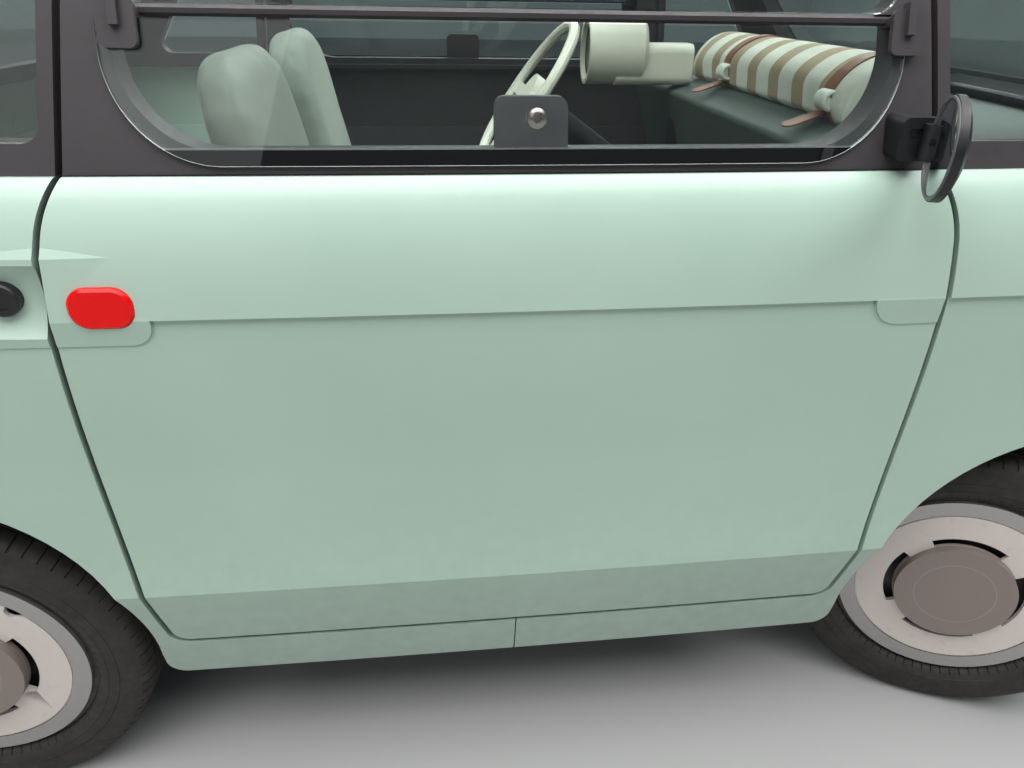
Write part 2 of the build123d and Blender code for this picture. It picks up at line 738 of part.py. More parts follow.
# Clamp of the flap: its plate lies on the glass, its root grips the bar, and a rib stiffens it
CLAMP_Z = (CLAMP_LOW_Z + CLAMP_HIGH_Z) / 2
CLAMP_OFF = FLAP_OUT + 0.5
CLAMP_THICK = 6.5
CLAMP_ROOT_DEPTH = BAR_INSET + BAR_R + 1
CLAMP_ROOT_R = 4
ROOT_DROP = CLAMP_HIGH_Z - upper_low_z + 1.5
CLAMP_R = 8
CLAMP_RIB = (10, 36, 13)
plate_height = CLAMP_HIGH_Z - CLAMP_LOW_Z
root_height = CLAMP_HIGH_Z - ROOT_DROP - FLAP_TOP_Z - SEAT_GAP
with BuildPart() as flap_clamps:
    for x in CLAMP_X:
        with BuildSketch(clamp_plane(x).offset(CLAMP_OFF)):
            RectangleRounded(2 * CLAMP_HALF, plate_height, CLAMP_R)
        extrude(amount=CLAMP_THICK)
        with BuildSketch(clamp_plane(x).offset(-CLAMP_ROOT_DEPTH)):
            with Locations((0, (plate_height - root_height) / 2 - ROOT_DROP)):
                RectangleRounded(2 * CLAMP_HALF, root_height, CLAMP_ROOT_R)
        extrude(amount=CLAMP_ROOT_DEPTH + CLAMP_OFF + CLAMP_THICK)
        with BuildSketch(clamp_plane(x).offset(CLAMP_OFF)):
            with Locations((0, (plate_height - CLAMP_RIB[1]) / 2 + CLAMP_THICK)):
                Rectangle(CLAMP_RIB[0], CLAMP_RIB[1])
        extrude(amount=CLAMP_RIB[2])
LATCH_THICK = 12
latch_plate = strip(block(*LATCH_X, BELT_Z, LATCH_TOP_Z), LATCH_THICK, FLANK_PLANE, 0, LATCH_THICK)
with BuildPart() as door_frame:
    add(door_top_frame)
    add(door_inner)
    add(flap_prism(FLAP_LAP, upper_low_z), mode=Mode.SUBTRACT)
    add(upper_opening, mode=Mode.SUBTRACT)
    add(flap_bar.part)
    add(flap_clamps.part)
    add(latch_plate)
    add(hinge_pockets.part, mode=Mode.SUBTRACT)

flap_shell = shell(hull(CABIN_LEVELS, -FLAP_OUT), hull(CABIN_LEVELS, -SEAT_GAP))
with BuildPart() as door_glass:
    add(common(pane_shell, opening_prism(upper_low_z, upper_high_z, OPENING_R, SEAT_GAP)))
    add(common(flap_shell, flap_prism(0, FLAP_TOP_Z)))

# Mirror: block on the door's lower front corner, upright knuckle, neck and a round domed head
MIRROR_X = 472
MIRROR_Z = 1066
MIRROR_BASE = 50
MIRROR_FACE_Y = 667
KNUCKLE_X = 482
KNUCKLE_Y = 675
KNUCKLE_R = 11
NECK_R = 8
NECK_END_Y = 705
HEAD_CENTRE = (460, -725, MIRROR_Z)
HEAD_YAW = 21.7
HEAD_R = 58
HEAD_RIM = 9
HEAD_DOME = 15
HEAD_GLASS_R = 52
HEAD_SHEET = 2
head_dir = (cos(radians(HEAD_YAW)), -sin(radians(HEAD_YAW)), 0)
dome_r = (HEAD_R**2 + HEAD_DOME**2) / (2 * HEAD_DOME)
dome_half_height = HEAD_RIM + HEAD_DOME - dome_r + sqrt(dome_r**2 - (HEAD_R / 2) ** 2)
with BuildPart() as door_mirror:
    with BuildSketch(Plane.XZ.offset(side_y(CABIN_LEVELS, MIRROR_Z, MIRROR_X) - FRAME_THICK / 2)):
        with Locations((MIRROR_X, MIRROR_Z)):
            RectangleRounded(MIRROR_BASE, MIRROR_BASE, 9)
    extrude(amount=MIRROR_FACE_Y - side_y(CABIN_LEVELS, MIRROR_Z, MIRROR_X) + FRAME_THICK / 2)
    with BuildSketch(Plane.XZ.offset(MIRROR_FACE_Y)):
        with Locations((MIRROR_X - 6, MIRROR_Z + 6)):
            RectangleRounded(18, 12, 3)
    extrude(amount=-HEAD_SHEET, mode=Mode.SUBTRACT)
    with BuildSketch(Plane.XY.offset(MIRROR_Z - 21)):
        with Locations((KNUCKLE_X, -KNUCKLE_Y)):
            Circle(KNUCKLE_R)
    extrude(amount=40)
    with BuildSketch(Plane.XZ.offset(KNUCKLE_Y)):
        with Locations((KNUCKLE_X, MIRROR_Z)):
            Circle(NECK_R)
    extrude(amount=NECK_END_Y - KNUCKLE_Y)
    with BuildSketch(Plane(origin=HEAD_CENTRE, x_dir=(0, 0, 1), z_dir=(-head_dir[1], head_dir[0], 0))):
        with BuildLine():
            Polyline(
                (0, HEAD_RIM + HEAD_DOME),
                (0, HEAD_SHEET),
                (HEAD_GLASS_R, HEAD_SHEET),
                (HEAD_GLASS_R, 0),
                (HEAD_R, 0),
                (HEAD_R, HEAD_RIM),
            )
            ThreePointArc(
                (HEAD_R, HEAD_RIM), (HEAD_R / 2, dome_half_height), (0, HEAD_RIM + HEAD_DOME)
            )
        make_face()
    revolve(axis=Axis(HEAD_CENTRE, head_dir))
    add(hull(CABIN_LEVELS, -SEAT_GAP), mode=Mode.SUBTRACT)

for side_name in ("right", "left"):
    for piece, piece_name in (
        (door_panel.part, "door_panel"),
        (door_frame.part, "door_frame"),
        (door_glass.part, "door_glass"),
        (door_reflector.part, "door_reflector"),
        (door_mirror.part, "door_mirror"),
    ):
        placed = piece
        if side_name == "left":
            placed = flipped(piece) if piece_name == "door_mirror" else turned(piece, (0, 0, 0), 180)
        placed.label = f"{piece_name}_{side_name}"
        export_step(placed, f"parts/{placed.label}.step")

# Wiper: a boss on the cowl, an arm, and a blade that lies along the foot of the windscreen
WIPER_PIVOT = (180, 1043)
WIPER_PIVOT_R = 14
WIPER_BLADE = (-260, 200, 1084, 1094)
WIPER_ARM_HALF = 7
WIPER_RISE = 9
blade_middle_y, blade_z = (WIPER_BLADE[0] + WIPER_BLADE[1]) / 2, WIPER_BLADE[2]
wiper_arm = [
    (blade_middle_y - WIPER_ARM_HALF, blade_z),
    (WIPER_PIVOT[0], WIPER_PIVOT[1] - WIPER_ARM_HALF),
    (WIPER_PIVOT[0], WIPER_PIVOT[1] + WIPER_ARM_HALF),
    (blade_middle_y + WIPER_ARM_HALF, blade_z + WIPER_ARM_HALF),
]
with BuildPart() as wiper_boss:
    with BuildSketch(FRONT_PLANE):
        with Locations(WIPER_PIVOT):
            Circle(WIPER_PIVOT_R)
    extrude(amount=HALF_LENGTH)
wiper_outer = hull(CABIN_LEVELS, -WIPER_RISE - 4)
with BuildPart() as wiper:
    add(common(shell(wiper_outer, hull(CABIN_LEVELS, -SEAT_GAP)), wiper_boss.part))
    add(strip(wiper_arm, 1, FRONT_PLANE, -WIPER_RISE - 4, -WIPER_RISE + 3))
    add(strip(block(*WIPER_BLADE), 3, FRONT_PLANE, -WIPER_RISE, GLASS_SET - SEAT_GAP))
wiper.part.label = "wiper"
export_step(wiper.part, "parts/wiper.step")

# Lamps: one turned lamp with its flange, ring and domed lens, let into the nose and tail panels
lens_dome_r = (LAMP_LENS_R**2 + LAMP_DOME**2) / (2 * LAMP_DOME)
lens_half_height = LAMP_RING_HEIGHT + LAMP_DOME - lens_dome_r + sqrt(lens_dome_r**2 - (LAMP_LENS_R / 2) ** 2)
with BuildPart() as lamp:
    with BuildSketch(Plane.XZ):
        with BuildLine():
            Polyline(
                (0, LAMP_RING_HEIGHT + LAMP_DOME),
                (0, -LAMP_DEPTH),
                (LAMP_BODY_R, -LAMP_DEPTH),
                (LAMP_BODY_R, -LAMP_SEAT_DEPTH),
                (LAMP_FLANGE_R, -LAMP_SEAT_DEPTH),
                (LAMP_FLANGE_R, LAMP_RING_HEIGHT / 2),
                (LAMP_FLANGE_R - LAMP_RING_HEIGHT / 2, LAMP_RING_HEIGHT),
                (LAMP_LENS_R, LAMP_RING_HEIGHT),
            )
            ThreePointArc(
                (LAMP_LENS_R, LAMP_RING_HEIGHT),
                (LAMP_LENS_R / 2, lens_half_height),
                (0, LAMP_RING_HEIGHT + LAMP_DOME),
            )
        make_face()
    revolve(axis=Axis.Z)
for end, lamp_name in ((1, "headlamps"), (-1, "tail_lamps")):
    with BuildPart() as lamps:
        for side in (-1, 1):
            add(lamp.part.moved(lamp_plane(end, side).location))
    lamps.part.label = lamp_name
    export_step(lamps.part, f"parts/{lamp_name}.step")

# Chassis: two rails, cross-members between them, outriggers to a tube along each sill, and a beam
# across each end of the rails
SILL_TUBE_Y = 604
SILL_TUBE_WIDTH = 36
SILL_TUBE_TOP_Z = 318
BEAM_X = 1200
BEAM_HALF = 320
BEAM_HEIGHT = 90
BEAM_DEPTH = 40
BEAM_THICK = 40
CROSS_WIDTH = 50
CROSS_HEIGHT = 40
CROSS_RISE = 12
CROSS_X = (-1080, -480, 470, 1080)
TOW_X = 1206
TOW_Z = 213
TOW_R = 9
TOW_LUG_R = 17
TOW_THICK = 12
with BuildPart() as beam_pads:
    with BuildSketch(Plane.XY.offset(SILL_Z + 4)):
        for end in (-1, 1):
            with Locations((end * (BEAM_X + 10), 0)):
                Rectangle(120, 2 * BEAM_HALF)
    extrude(amount=RAIL_LOW_Z + BEAM_HEIGHT - SILL_Z)
    add(body_hull(SKIN + SEAT_GAP), mode=Mode.INTERSECT)
rail_in_y = RAIL_Y - RAIL_WIDTH / 2 - SEAT_GAP
rail_out_y = RAIL_Y + RAIL_WIDTH / 2 + SEAT_GAP
sill_in_y = SILL_TUBE_Y - SILL_TUBE_WIDTH / 2 - SEAT_GAP
outrigger_y = (rail_out_y + sill_in_y) / 2
with BuildPart() as chassis_frame:
    with BuildSketch(Plane.XY.offset(RAIL_LOW_Z)):
        with Locations((0, -RAIL_Y), (0, RAIL_Y)):
            Rectangle(2 * (BEAM_X - BEAM_DEPTH - BEAM_THICK / 2 - SEAT_GAP), RAIL_WIDTH)
    extrude(amount=FLOOR_Z - SEAT_GAP - RAIL_LOW_Z)
    with BuildSketch(Plane.XY.offset(RAIL_LOW_Z + CROSS_RISE)):
        for x in CROSS_X:
            with Locations((x, 0)):
                Rectangle(CROSS_WIDTH, 2 * rail_in_y)
            if abs(x) < AXLE_X - LINER_R:
                with Locations((x, -outrigger_y), (x, outrigger_y)):
                    Rectangle(CROSS_WIDTH, sill_in_y - rail_out_y)
    extrude(amount=CROSS_HEIGHT)
    with BuildSketch(Plane.XY.offset(SILL_Z + 6)):
        for side in (-1, 1):
            with Locations((0, side * SILL_TUBE_Y)):
                Rectangle(1040, SILL_TUBE_WIDTH)
    extrude(amount=SILL_TUBE_TOP_Z - SILL_Z - 6)
    for end in (-1, 1):
        with BuildSketch(Plane.XY.offset(RAIL_LOW_Z + 10)):
            with Locations((end * (BEAM_X - BEAM_DEPTH), 0)):
                Rectangle(BEAM_THICK, 2 * BEAM_HALF)
        extrude(amount=BEAM_HEIGHT)
    add(beam_pads.part)
    with BuildSketch(Plane.XZ.offset(-TOW_THICK / 2)):
        with Locations(((BEAM_X + TOW_X) / 2 - 10, TOW_Z)):
            Rectangle(TOW_X - BEAM_X + 40, 2 * TOW_LUG_R)
        with Locations((TOW_X, TOW_Z)):
            Circle(TOW_LUG_R)
            Circle(TOW_R, mode=Mode.SUBTRACT)
    extrude(amount=TOW_THICK)
chassis_frame.part.label = "chassis_frame"
export_step(chassis_frame.part, "parts/chassis_frame.step")

# Battery: one sealed block between the rails, under the floor
BATTERY_X = -190
BATTERY_LENGTH = 520
BATTERY_HEIGHT = 92
with BuildPart() as battery_pack:
    with BuildSketch(Plane.XY.offset(FLOOR_Z - SEAT_GAP - BATTERY_HEIGHT)):
        with Locations((BATTERY_X, 0)):
            RectangleRounded(BATTERY_LENGTH, 2 * RAIL_Y - RAIL_WIDTH - 2, 12)
    extrude(amount=BATTERY_HEIGHT)
battery_pack.part.label = "battery_pack"
export_step(battery_pack.part, "parts/battery_pack.step")

# Drive motor with its gear case and two half shafts
MOTOR_R = 92
SHAFT_R = 13
SHAFT_END_Y = KINGPIN_Y - 34
with BuildPart() as drive_motor:
    with BuildSketch(Plane.XZ.offset(-120)):
        with Locations((AXLE_X + 20, TYRE_R + 40)):
            Circle(MOTOR_R)
    extrude(amount=240)
    with BuildSketch(Plane.XZ.offset(-70)):
        with Locations((AXLE_X, TYRE_R)):
            Circle(70)
    extrude(amount=170)
    with BuildSketch(Plane.XZ.offset(-SHAFT_END_Y)):
        with Locations((AXLE_X, TYRE_R)):
            Circle(SHAFT_R)
    extrude(amount=2 * SHAFT_END_Y)
    for side in (-1, 1):
        with BuildSketch(Plane.XY.offset(RAIL_LOW_Z + 30)):
            with Locations((AXLE_X, side * 205)):
                Rectangle(60, 2 * (RAIL_Y - RAIL_WIDTH / 2 - 205) - 2 * SEAT_GAP)
        extrude(amount=60)
drive_motor.part.label = "drive_motor"
export_step(drive_motor.part, "parts/drive_motor.step")

# Front suspension: one lower arm per side, with two bushes under the rail
ARM_Z = 168
ARM_THICK = 14
STRUT_R = 19
STUD_R = 8
STUD_LENGTH = 30
with BuildPart() as front_suspension:
    for side in (-1, 1):
        with BuildSketch(Plane.XY.offset(ARM_Z)):
            with BuildLine():
                Polyline(
                    (AXLE_X + 22, side * (KINGPIN_Y + 14)),
                    (AXLE_X - 22, side * (KINGPIN_Y + 14)),
                    (AXLE_X - 110, side * (RAIL_Y - 16)),
                    (AXLE_X + 110, side * (RAIL_Y - 16)),
                    close=True,
                )
            make_face()
        extrude(amount=ARM_THICK)
        for offset_x in (-70, 70):
            with BuildSketch(Plane.XY.offset(ARM_Z)):
                with Locations((AXLE_X + offset_x, side * RAIL_Y)):
                    Circle(12)
            extrude(amount=RAIL_LOW_Z - SEAT_GAP - ARM_Z)
        with BuildSketch(Plane.XY.offset(ARM_Z)):
            with Locations((AXLE_X, side * KINGPIN_Y)):
                Circle(STUD_R)
        extrude(amount=ARM_THICK + STUD_LENGTH)
front_suspension.part.label = "front_suspension"
export_step(front_suspension.part, "parts/front_suspension.step")

# Knuckles: kingpin post, flange, spindle and strut, built at the right then turned as parked


def turned_wheel_part(shape, side):
    """Put a part that is built for the right front wheel at its parked steering angle."""
    placed = shape if side < 0 else flipped(shape)
    return turned(placed, (AXLE_X, side * KINGPIN_Y, 0), PARKED_STEER)


FLANGE_Y = 548
SPINDLE_END_Y = 596
STRUT_FOOT = (AXLE_X, -KINGPIN_Y + 6, 340)
STRUT_LEAN = (0, 0.16, 1)
STRUT_LENGTH = 280
KINGPIN_R = 17
KINGPIN_LENGTH = 200
with BuildPart() as knuckle:
    with BuildSketch(Plane.XY.offset(ARM_Z + ARM_THICK + RUN_GAP)):
        with Locations((AXLE_X, -KINGPIN_Y)):
            Circle(KINGPIN_R)
    extrude(amount=KINGPIN_LENGTH)
    with BuildSketch(Plane.XZ.offset(KINGPIN_Y)):
        with Locations((AXLE_X, TYRE_R)):
            Circle(52)
    extrude(amount=FLANGE_Y - KINGPIN_Y)
    with BuildSketch(Plane.XZ.offset(KINGPIN_Y)):
        with Locations((AXLE_X, TYRE_R)):
            Circle(SPINDLE_R)
    extrude(amount=SPINDLE_END_Y - KINGPIN_Y)
    with BuildSketch(Plane(origin=STRUT_FOOT, x_dir=(1, 0, 0), z_dir=STRUT_LEAN)):
        Circle(STRUT_R)
    extrude(amount=STRUT_LENGTH)
    with BuildSketch(Plane.XY.offset(ARM_Z)):
        with Locations((AXLE_X, -KINGPIN_Y)):
            Circle(STUD_R + BEARING_GAP)
    extrude(amount=ARM_THICK + STUD_LENGTH + RUN_GAP, mode=Mode.SUBTRACT)
for side, side_name in ((-1, "right"), (1, "left")):
    placed = turned_wheel_part(knuckle.part, side)
    placed.label = f"knuckle_{side_name}"
    export_step(placed, f"parts/{placed.label}.step")

# Rear suspension: trailing arms on a cross tube, dampers and fixed spindles
REAR_TUBE_X = -560
DAMPER_Y = 452
with BuildPart() as rear_suspension:
    for side in (-1, 1):
        with BuildSketch(Plane.XZ.offset(-side * 470)):
            with BuildLine():
                Polyline(
                    (REAR_TUBE_X + 30, 200),
                    (REAR_TUBE_X + 30, 256),
                    (-AXLE_X + 30, TYRE_R + 34),
                    (-AXLE_X - 40, TYRE_R + 30),
                    (-AXLE_X - 40, TYRE_R - 30),
                    (-AXLE_X + 30, TYRE_R - 40),
                    close=True,
                )
            make_face()
        extrude(amount=-side * 26)
        with BuildSketch(Plane.XZ.offset(-side * 470)):
            with Locations((-AXLE_X, TYRE_R)):
                Circle(50)
        extrude(amount=-side * (FLANGE_Y - 470))
        with BuildSketch(Plane.XZ.offset(-side * 470)):
            with Locations((-AXLE_X, TYRE_R)):
                Circle(SPINDLE_R)
        extrude(amount=-side * (SPINDLE_END_Y - 470))
        with BuildSketch(Plane.XY.offset(TYRE_R)):
            with Locations((-AXLE_X, side * DAMPER_Y)):
                Circle(STRUT_R)
        extrude(amount=LINER_Z + LINER_R - TYRE_R - 1)
    with BuildSketch(Plane.XZ.offset(-490)):
        with Locations((REAR_TUBE_X, 222)):
            Circle(20)
    extrude(amount=980)
    add(chassis_frame.part, mode=Mode.SUBTRACT)
rear_suspension.part.label = "rear_suspension"
export_step(rear_suspension.part, "parts/rear_suspension.step")

# Wheels: tyre, steel rim and cover, built for the right-hand side at the origin of the hub
DISC_Y = 38
# Tyre section: distance from the middle plane, radius
TYRE_SECTION = [
    (RIM_HALF, BEAD_R),
    (TYRE_WIDTH / 2, BEAD_R + BEAD_RISE),
    (TYRE_WIDTH / 2, TYRE_R - TREAD_BEVEL),
    (TYRE_WIDTH / 2 - TREAD_BEVEL, TYRE_R),
]


def hub_plane(y_out):
    """Plane across the wheel axis, a distance outboard of the wheel's middle plane."""
    return Plane(origin=(0, -y_out, 0), x_dir=(1, 0, 0), z_dir=(0, -1, 0))


with BuildPart() as tyre:
    with BuildSketch(Plane.YZ):
        with BuildLine():
            outer = [(-y, r) for y, r in TYRE_SECTION]
            inner = [(y, r) for y, r in reversed(TYRE_SECTION)]
            Polyline(*outer, *inner, close=True)
        make_face()
    revolve(axis=Axis.Y)

# Rim: open barrel with a folded front lip, a dished disc and a blind hub bore
HUB_BACK_Y = FLANGE_Y + RUN_GAP - HUB_Y
DISC_THICK = 8
HUB_WALL = 10
HUB_OUT_R = 62
HUB_NOSE_R = 50
HUB_RISE = 12
LIP_THICK = 4
LIP_R = 186
BARREL_R = BEAD_R - SEAT_GAP
with BuildPart() as rim:
    with BuildSketch(Plane.YZ):
        with BuildLine():
            Polyline(
                (RIM_HALF, BARREL_R),
                (-RIM_HALF, BARREL_R),
                (-RIM_HALF, LIP_R),
                (-RIM_HALF + LIP_THICK, LIP_R),
                (-RIM_HALF + LIP_THICK, BARREL_R - RIM_THICK),
                (-DISC_Y - DISC_THICK, BARREL_R - RIM_THICK),
                (-DISC_Y - DISC_THICK, HUB_OUT_R),
                (-DISC_Y + HUB_RISE, HUB_NOSE_R),
                (-DISC_Y + HUB_RISE, 0),
                (-DISC_Y + HUB_RISE + HUB_WALL, 0),
                (-DISC_Y + HUB_RISE + HUB_WALL, SPINDLE_R + BEARING_GAP),
                (-HUB_BACK_Y, SPINDLE_R + BEARING_GAP),
                (-HUB_BACK_Y, HUB_OUT_R),
                (-DISC_Y + HUB_RISE + HUB_WALL, HUB_OUT_R),
                (-DISC_Y, HUB_OUT_R + HUB_RISE),
                (-DISC_Y, BARREL_R - RIM_THICK),
                (RIM_HALF, BARREL_R - RIM_THICK),
                close=True,
            )
        make_face()
    revolve(axis=Axis.Y)

# Wheel cover: disc with a grooved outer ring, four slots beside a raised flat cap, a valve notch
COVER_BACK_Y = RIM_HALF + SEAT_GAP
COVER_FACE_Y = 70
CAP_FACE_Y = 83
COVER_GROOVE = 3
SLOT_IN_R = CAP_R + 0.5
SLOT_OUT_R = 113
SLOT_ARC = 64
VALVE_R = 14
VALVE_ANGLE = 45
with BuildPart() as cover:
    with BuildSketch(hub_plane(COVER_BACK_Y)):
        Circle(COVER_R)
    extrude(amount=COVER_FACE_Y - COVER_BACK_Y)
    with BuildSketch(hub_plane(COVER_FACE_Y)):
        Circle(CAP_R)
    extrude(amount=CAP_FACE_Y - COVER_FACE_Y)
    with BuildSketch(hub_plane(COVER_FACE_Y)):
        Circle(COVER_RING_R)
        Circle(COVER_RING_R - COVER_GROOVE, mode=Mode.SUBTRACT)
    extrude(amount=-COVER_GROOVE, mode=Mode.SUBTRACT)
    with BuildSketch(hub_plane(COVER_BACK_Y)):
        with PolarLocations(0, 4):
            with BuildLine():
                half = SLOT_ARC / 2
                inner_arc = CenterArc((0, 0), SLOT_IN_R, -half, SLOT_ARC)
                outer_arc = CenterArc((0, 0), SLOT_OUT_R, -half, SLOT_ARC)
                Line(inner_arc @ 0, outer_arc @ 0)
                Line(inner_arc @ 1, outer_arc @ 1)
            make_face()
    extrude(amount=COVER_FACE_Y - COVER_BACK_Y, mode=Mode.SUBTRACT)
    with BuildSketch(hub_plane(COVER_BACK_Y)):
        with PolarLocations(COVER_RING_R - COVER_GROOVE, 1, start_angle=VALVE_ANGLE):
            Circle(VALVE_R)
        Circle(COVER_RING_R - COVER_GROOVE, mode=Mode.INTERSECT)
    extrude(amount=COVER_FACE_Y - COVER_BACK_Y, mode=Mode.SUBTRACT)

for end, side, corner in ((1, -1, "fr"), (1, 1, "fl"), (-1, -1, "rr"), (-1, 1, "rl")):
    for piece, piece_name in ((tyre.part, "tyre"), (rim.part, "rim"), (cover.part, "cover")):
        wheel_piece = piece.moved(Location((AXLE_X * end, -HUB_Y, TYRE_R)))
        if side > 0:
            wheel_piece = flipped(wheel_piece)
        if end > 0:
            wheel_piece = turned(wheel_piece, (AXLE_X, side * KINGPIN_Y, 0), PARKED_STEER)
        wheel_piece.label = f"{piece_name}_{corner}"
        export_step(wheel_piece, f"parts/{wheel_piece.label}.step")

# Cabin tub: floor, toe board and bulkhead, rear wall and shelf, and four wheel liners
BULKHEAD_X = 985
TOE_POINTS = [(690, FLOOR_Z + 4), (800, 560), (BULKHEAD_X, 640), (BULKHEAD_X, 930)]
REAR_WALL_POINTS = [(-600, FLOOR_Z + 4), (-650, 645), (-1150, 645)]
SHAFT_NOTCH_HALF = 140
SHAFT_NOTCH_TOP = 385
LINER_THICK = 4
DOOR_SWEEP_X = 600
DOOR_SWEEP_Y = 602
with BuildPart() as liners:
    for end in (-1, 1):
        with BuildSketch(Plane.XZ.offset(LINER_IN_Y - LINER_THICK)):
            with Locations((end * AXLE_X, LINER_Z)):
                Circle(LINER_R + LINER_THICK)
        extrude(amount=HALF_WIDTH - LINER_IN_Y)
        with BuildSketch(Plane.XZ.offset(LINER_IN_Y)):
            with Locations((end * AXLE_X, LINER_Z)):
                Circle(LINER_R)
        extrude(amount=HALF_WIDTH, mode=Mode.SUBTRACT)
    with BuildSketch(Plane.XY):
        Rectangle(LENGTH, WIDTH)
    extrude(amount=FLOOR_Z, mode=Mode.SUBTRACT)
    for end in (-1, 1):
        with BuildSketch(Plane.XY.offset(FLOOR_Z)):
            with Locations((end * AXLE_X, -LINER_IN_Y)):
                Rectangle(2 * SHAFT_NOTCH_HALF, 30)
        extrude(amount=SHAFT_NOTCH_TOP - FLOOR_Z, mode=Mode.SUBTRACT)
    with BuildSketch(Plane.XY):
        with Locations((0, -HALF_WIDTH)):
            Rectangle(2 * DOOR_SWEEP_X, 2 * (HALF_WIDTH - DOOR_SWEEP_Y))
    extrude(amount=HEIGHT, mode=Mode.SUBTRACT)
with BuildPart() as wheel_space:
    for end in (-1, 1):
        with BuildSketch(Plane.XZ.offset(LINER_IN_Y)):
            with Locations((end * AXLE_X, LINER_Z)):
                Circle(LINER_R)
        extrude(amount=HALF_WIDTH)
with BuildPart() as cabin_tub:
    with BuildSketch(Plane.XY.offset(FLOOR_Z)):
        Rectangle(2 * (AXLE_X - LINER_R), 2 * FLOOR_HALF)
        with Locations((43, 0)):
            Rectangle(1300, 2 * LINER_IN_Y)
    extrude(amount=SHEET)
    with BuildSketch(Plane.XZ.offset(-FLOOR_HALF)):
        for points in (TOE_POINTS, REAR_WALL_POINTS):
            with BuildLine():
                wall = Polyline(*points)
                offset(wall, SHEET / 2, kind=Kind.INTERSECTION)
            make_face()
    extrude(amount=2 * FLOOR_HALF)
    for space in (wheel_space.part, flipped(wheel_space.part)):
        add(space, mode=Mode.SUBTRACT)
    add(liners.part)
    add(flipped(liners.part))
    add(body_hull(SKIN + SEAT_GAP), mode=Mode.INTERSECT)
    with BuildSketch(Plane.XY.offset(FLOOR_Z)):
        Rectangle(LENGTH, WIDTH)
    extrude(amount=HEIGHT, mode=Mode.INTERSECT)
cabin_tub.part.label = "cabin_tub"
export_step(cabin_tub.part, "parts/cabin_tub.step")

# Dashboard: a shelf that rises forward from its rear ridge
DASH_HALF = 560
RIDGE_X = 455
RIDGE_Z = 1012
DASH_EDGE_R = 10
DASH_FRONT_X = BULKHEAD_X - SHEET / 2 - SEAT_GAP
DASH_POINTS = [
    (RIDGE_X, RIDGE_Z),
    (540, 1040),
    (DASH_FRONT_X, 1046),
    (DASH_FRONT_X, 905),
    (700, 770),
    (520, 800),
]
with BuildPart() as dash_space:
    add(body_hull(DOOR_THICK + DOOR_GAP, True))
    add(hull(CABIN_LEVELS, FRAME_THICK + DOOR_GAP))
with BuildPart() as dashboard:
    with BuildSketch(Plane.XZ.offset(-DASH_HALF)) as outline:
        with BuildLine():
            Polyline(*DASH_POINTS, close=True)
        make_face()
        fillet(outline.vertices().group_by(Axis.X)[0], DASH_EDGE_R)
    extrude(amount=2 * DASH_HALF)
    add(dash_space.part, mode=Mode.INTERSECT)
dashboard.part.label = "dashboard"
export_step(dashboard.part, "parts/dashboard.step")

# Instrument pod: an oval drum that faces the driver, on a narrower neck from the dashboard
DRIVER_Y = 280
POD_X = 255
POD_Z = 1095
POD_HALF_Y = 58
POD_HALF_Z = 71
POD_LENGTH = 135
POD_LIP = 9
POD_DISH = 12
NECK_HALF_Y = 40
NECK_HALF_Z = 44
NECK_X = 500
with BuildPart() as instrument_pod:
    with BuildSketch(Plane.YZ.offset(POD_X)):
        with Locations((DRIVER_Y, POD_Z)):
            Ellipse(POD_HALF_Y, POD_HALF_Z)
    extrude(amount=POD_LENGTH)
    chamfer(instrument_pod.edges().group_by(Axis.X)[-1], POD_LIP)
    with BuildSketch(Plane.YZ.offset(POD_X + POD_LENGTH / 2)):
        with Locations((DRIVER_Y, POD_Z - POD_HALF_Z + NECK_HALF_Z)):
            RectangleRounded(2 * NECK_HALF_Y, 2 * NECK_HALF_Z, NECK_HALF_Y / 2)
    extrude(amount=NECK_X - POD_X - POD_LENGTH / 2)
    with BuildSketch(Plane.YZ.offset(POD_X)):
        with Locations((DRIVER_Y, POD_Z)):
            Ellipse(POD_HALF_Y - POD_LIP, POD_HALF_Z - POD_LIP)
    extrude(amount=POD_DISH, mode=Mode.SUBTRACT)
    add(dashboard.part, mode=Mode.SUBTRACT)
instrument_pod.part.label = "instrument_pod"
export_step(instrument_pod.part, "parts/instrument_pod.step")

# Steering column on one leaning axis: a housing hung from the dashboard, and a shaft to the toe board
COLUMN_TILT = 35
WHEEL_CENTRE = (120, DRIVER_Y, 1000)
STEER_RIM_R = 178
STEER_GRIP_R = 12
STEER_GRIP_FACES = 10
STEER_HUB_R = 52
STEER_HUB_RISE = 4
STEER_HUB_DEPTH = 20
STEER_NECK_R = 24
STEER_SPOKE_WIDTH = 30
STEER_SPOKE_THICK = 9
HOUSING_START = 46
HOUSING_R = 30
HOUSING_LENGTH = 420
COLUMN_SHAFT_R = 12
COLUMN_LENGTH = 900
HANGER_X = 535
HANGER_WIDTH = 60
HANGER_HALF_Y = 20
COLUMN_DIR = (cos(radians(COLUMN_TILT)), 0, -sin(radians(COLUMN_TILT)))
column_plane = Plane(origin=WHEEL_CENTRE, x_dir=(0, 1, 0), z_dir=COLUMN_DIR)
hanger_low_z = WHEEL_CENTRE[2] - (HANGER_X - WHEEL_CENTRE[0]) * tan(radians(COLUMN_TILT))
with BuildPart() as column_solid:
    with BuildSketch(column_plane.offset(HOUSING_START)):
        Circle(HOUSING_R)
    extrude(amount=HOUSING_LENGTH)
    with BuildSketch(column_plane.offset(HOUSING_START)):
        Circle(COLUMN_SHAFT_R)
    extrude(amount=COLUMN_LENGTH)
    add(cabin_tub.part, mode=Mode.SUBTRACT)
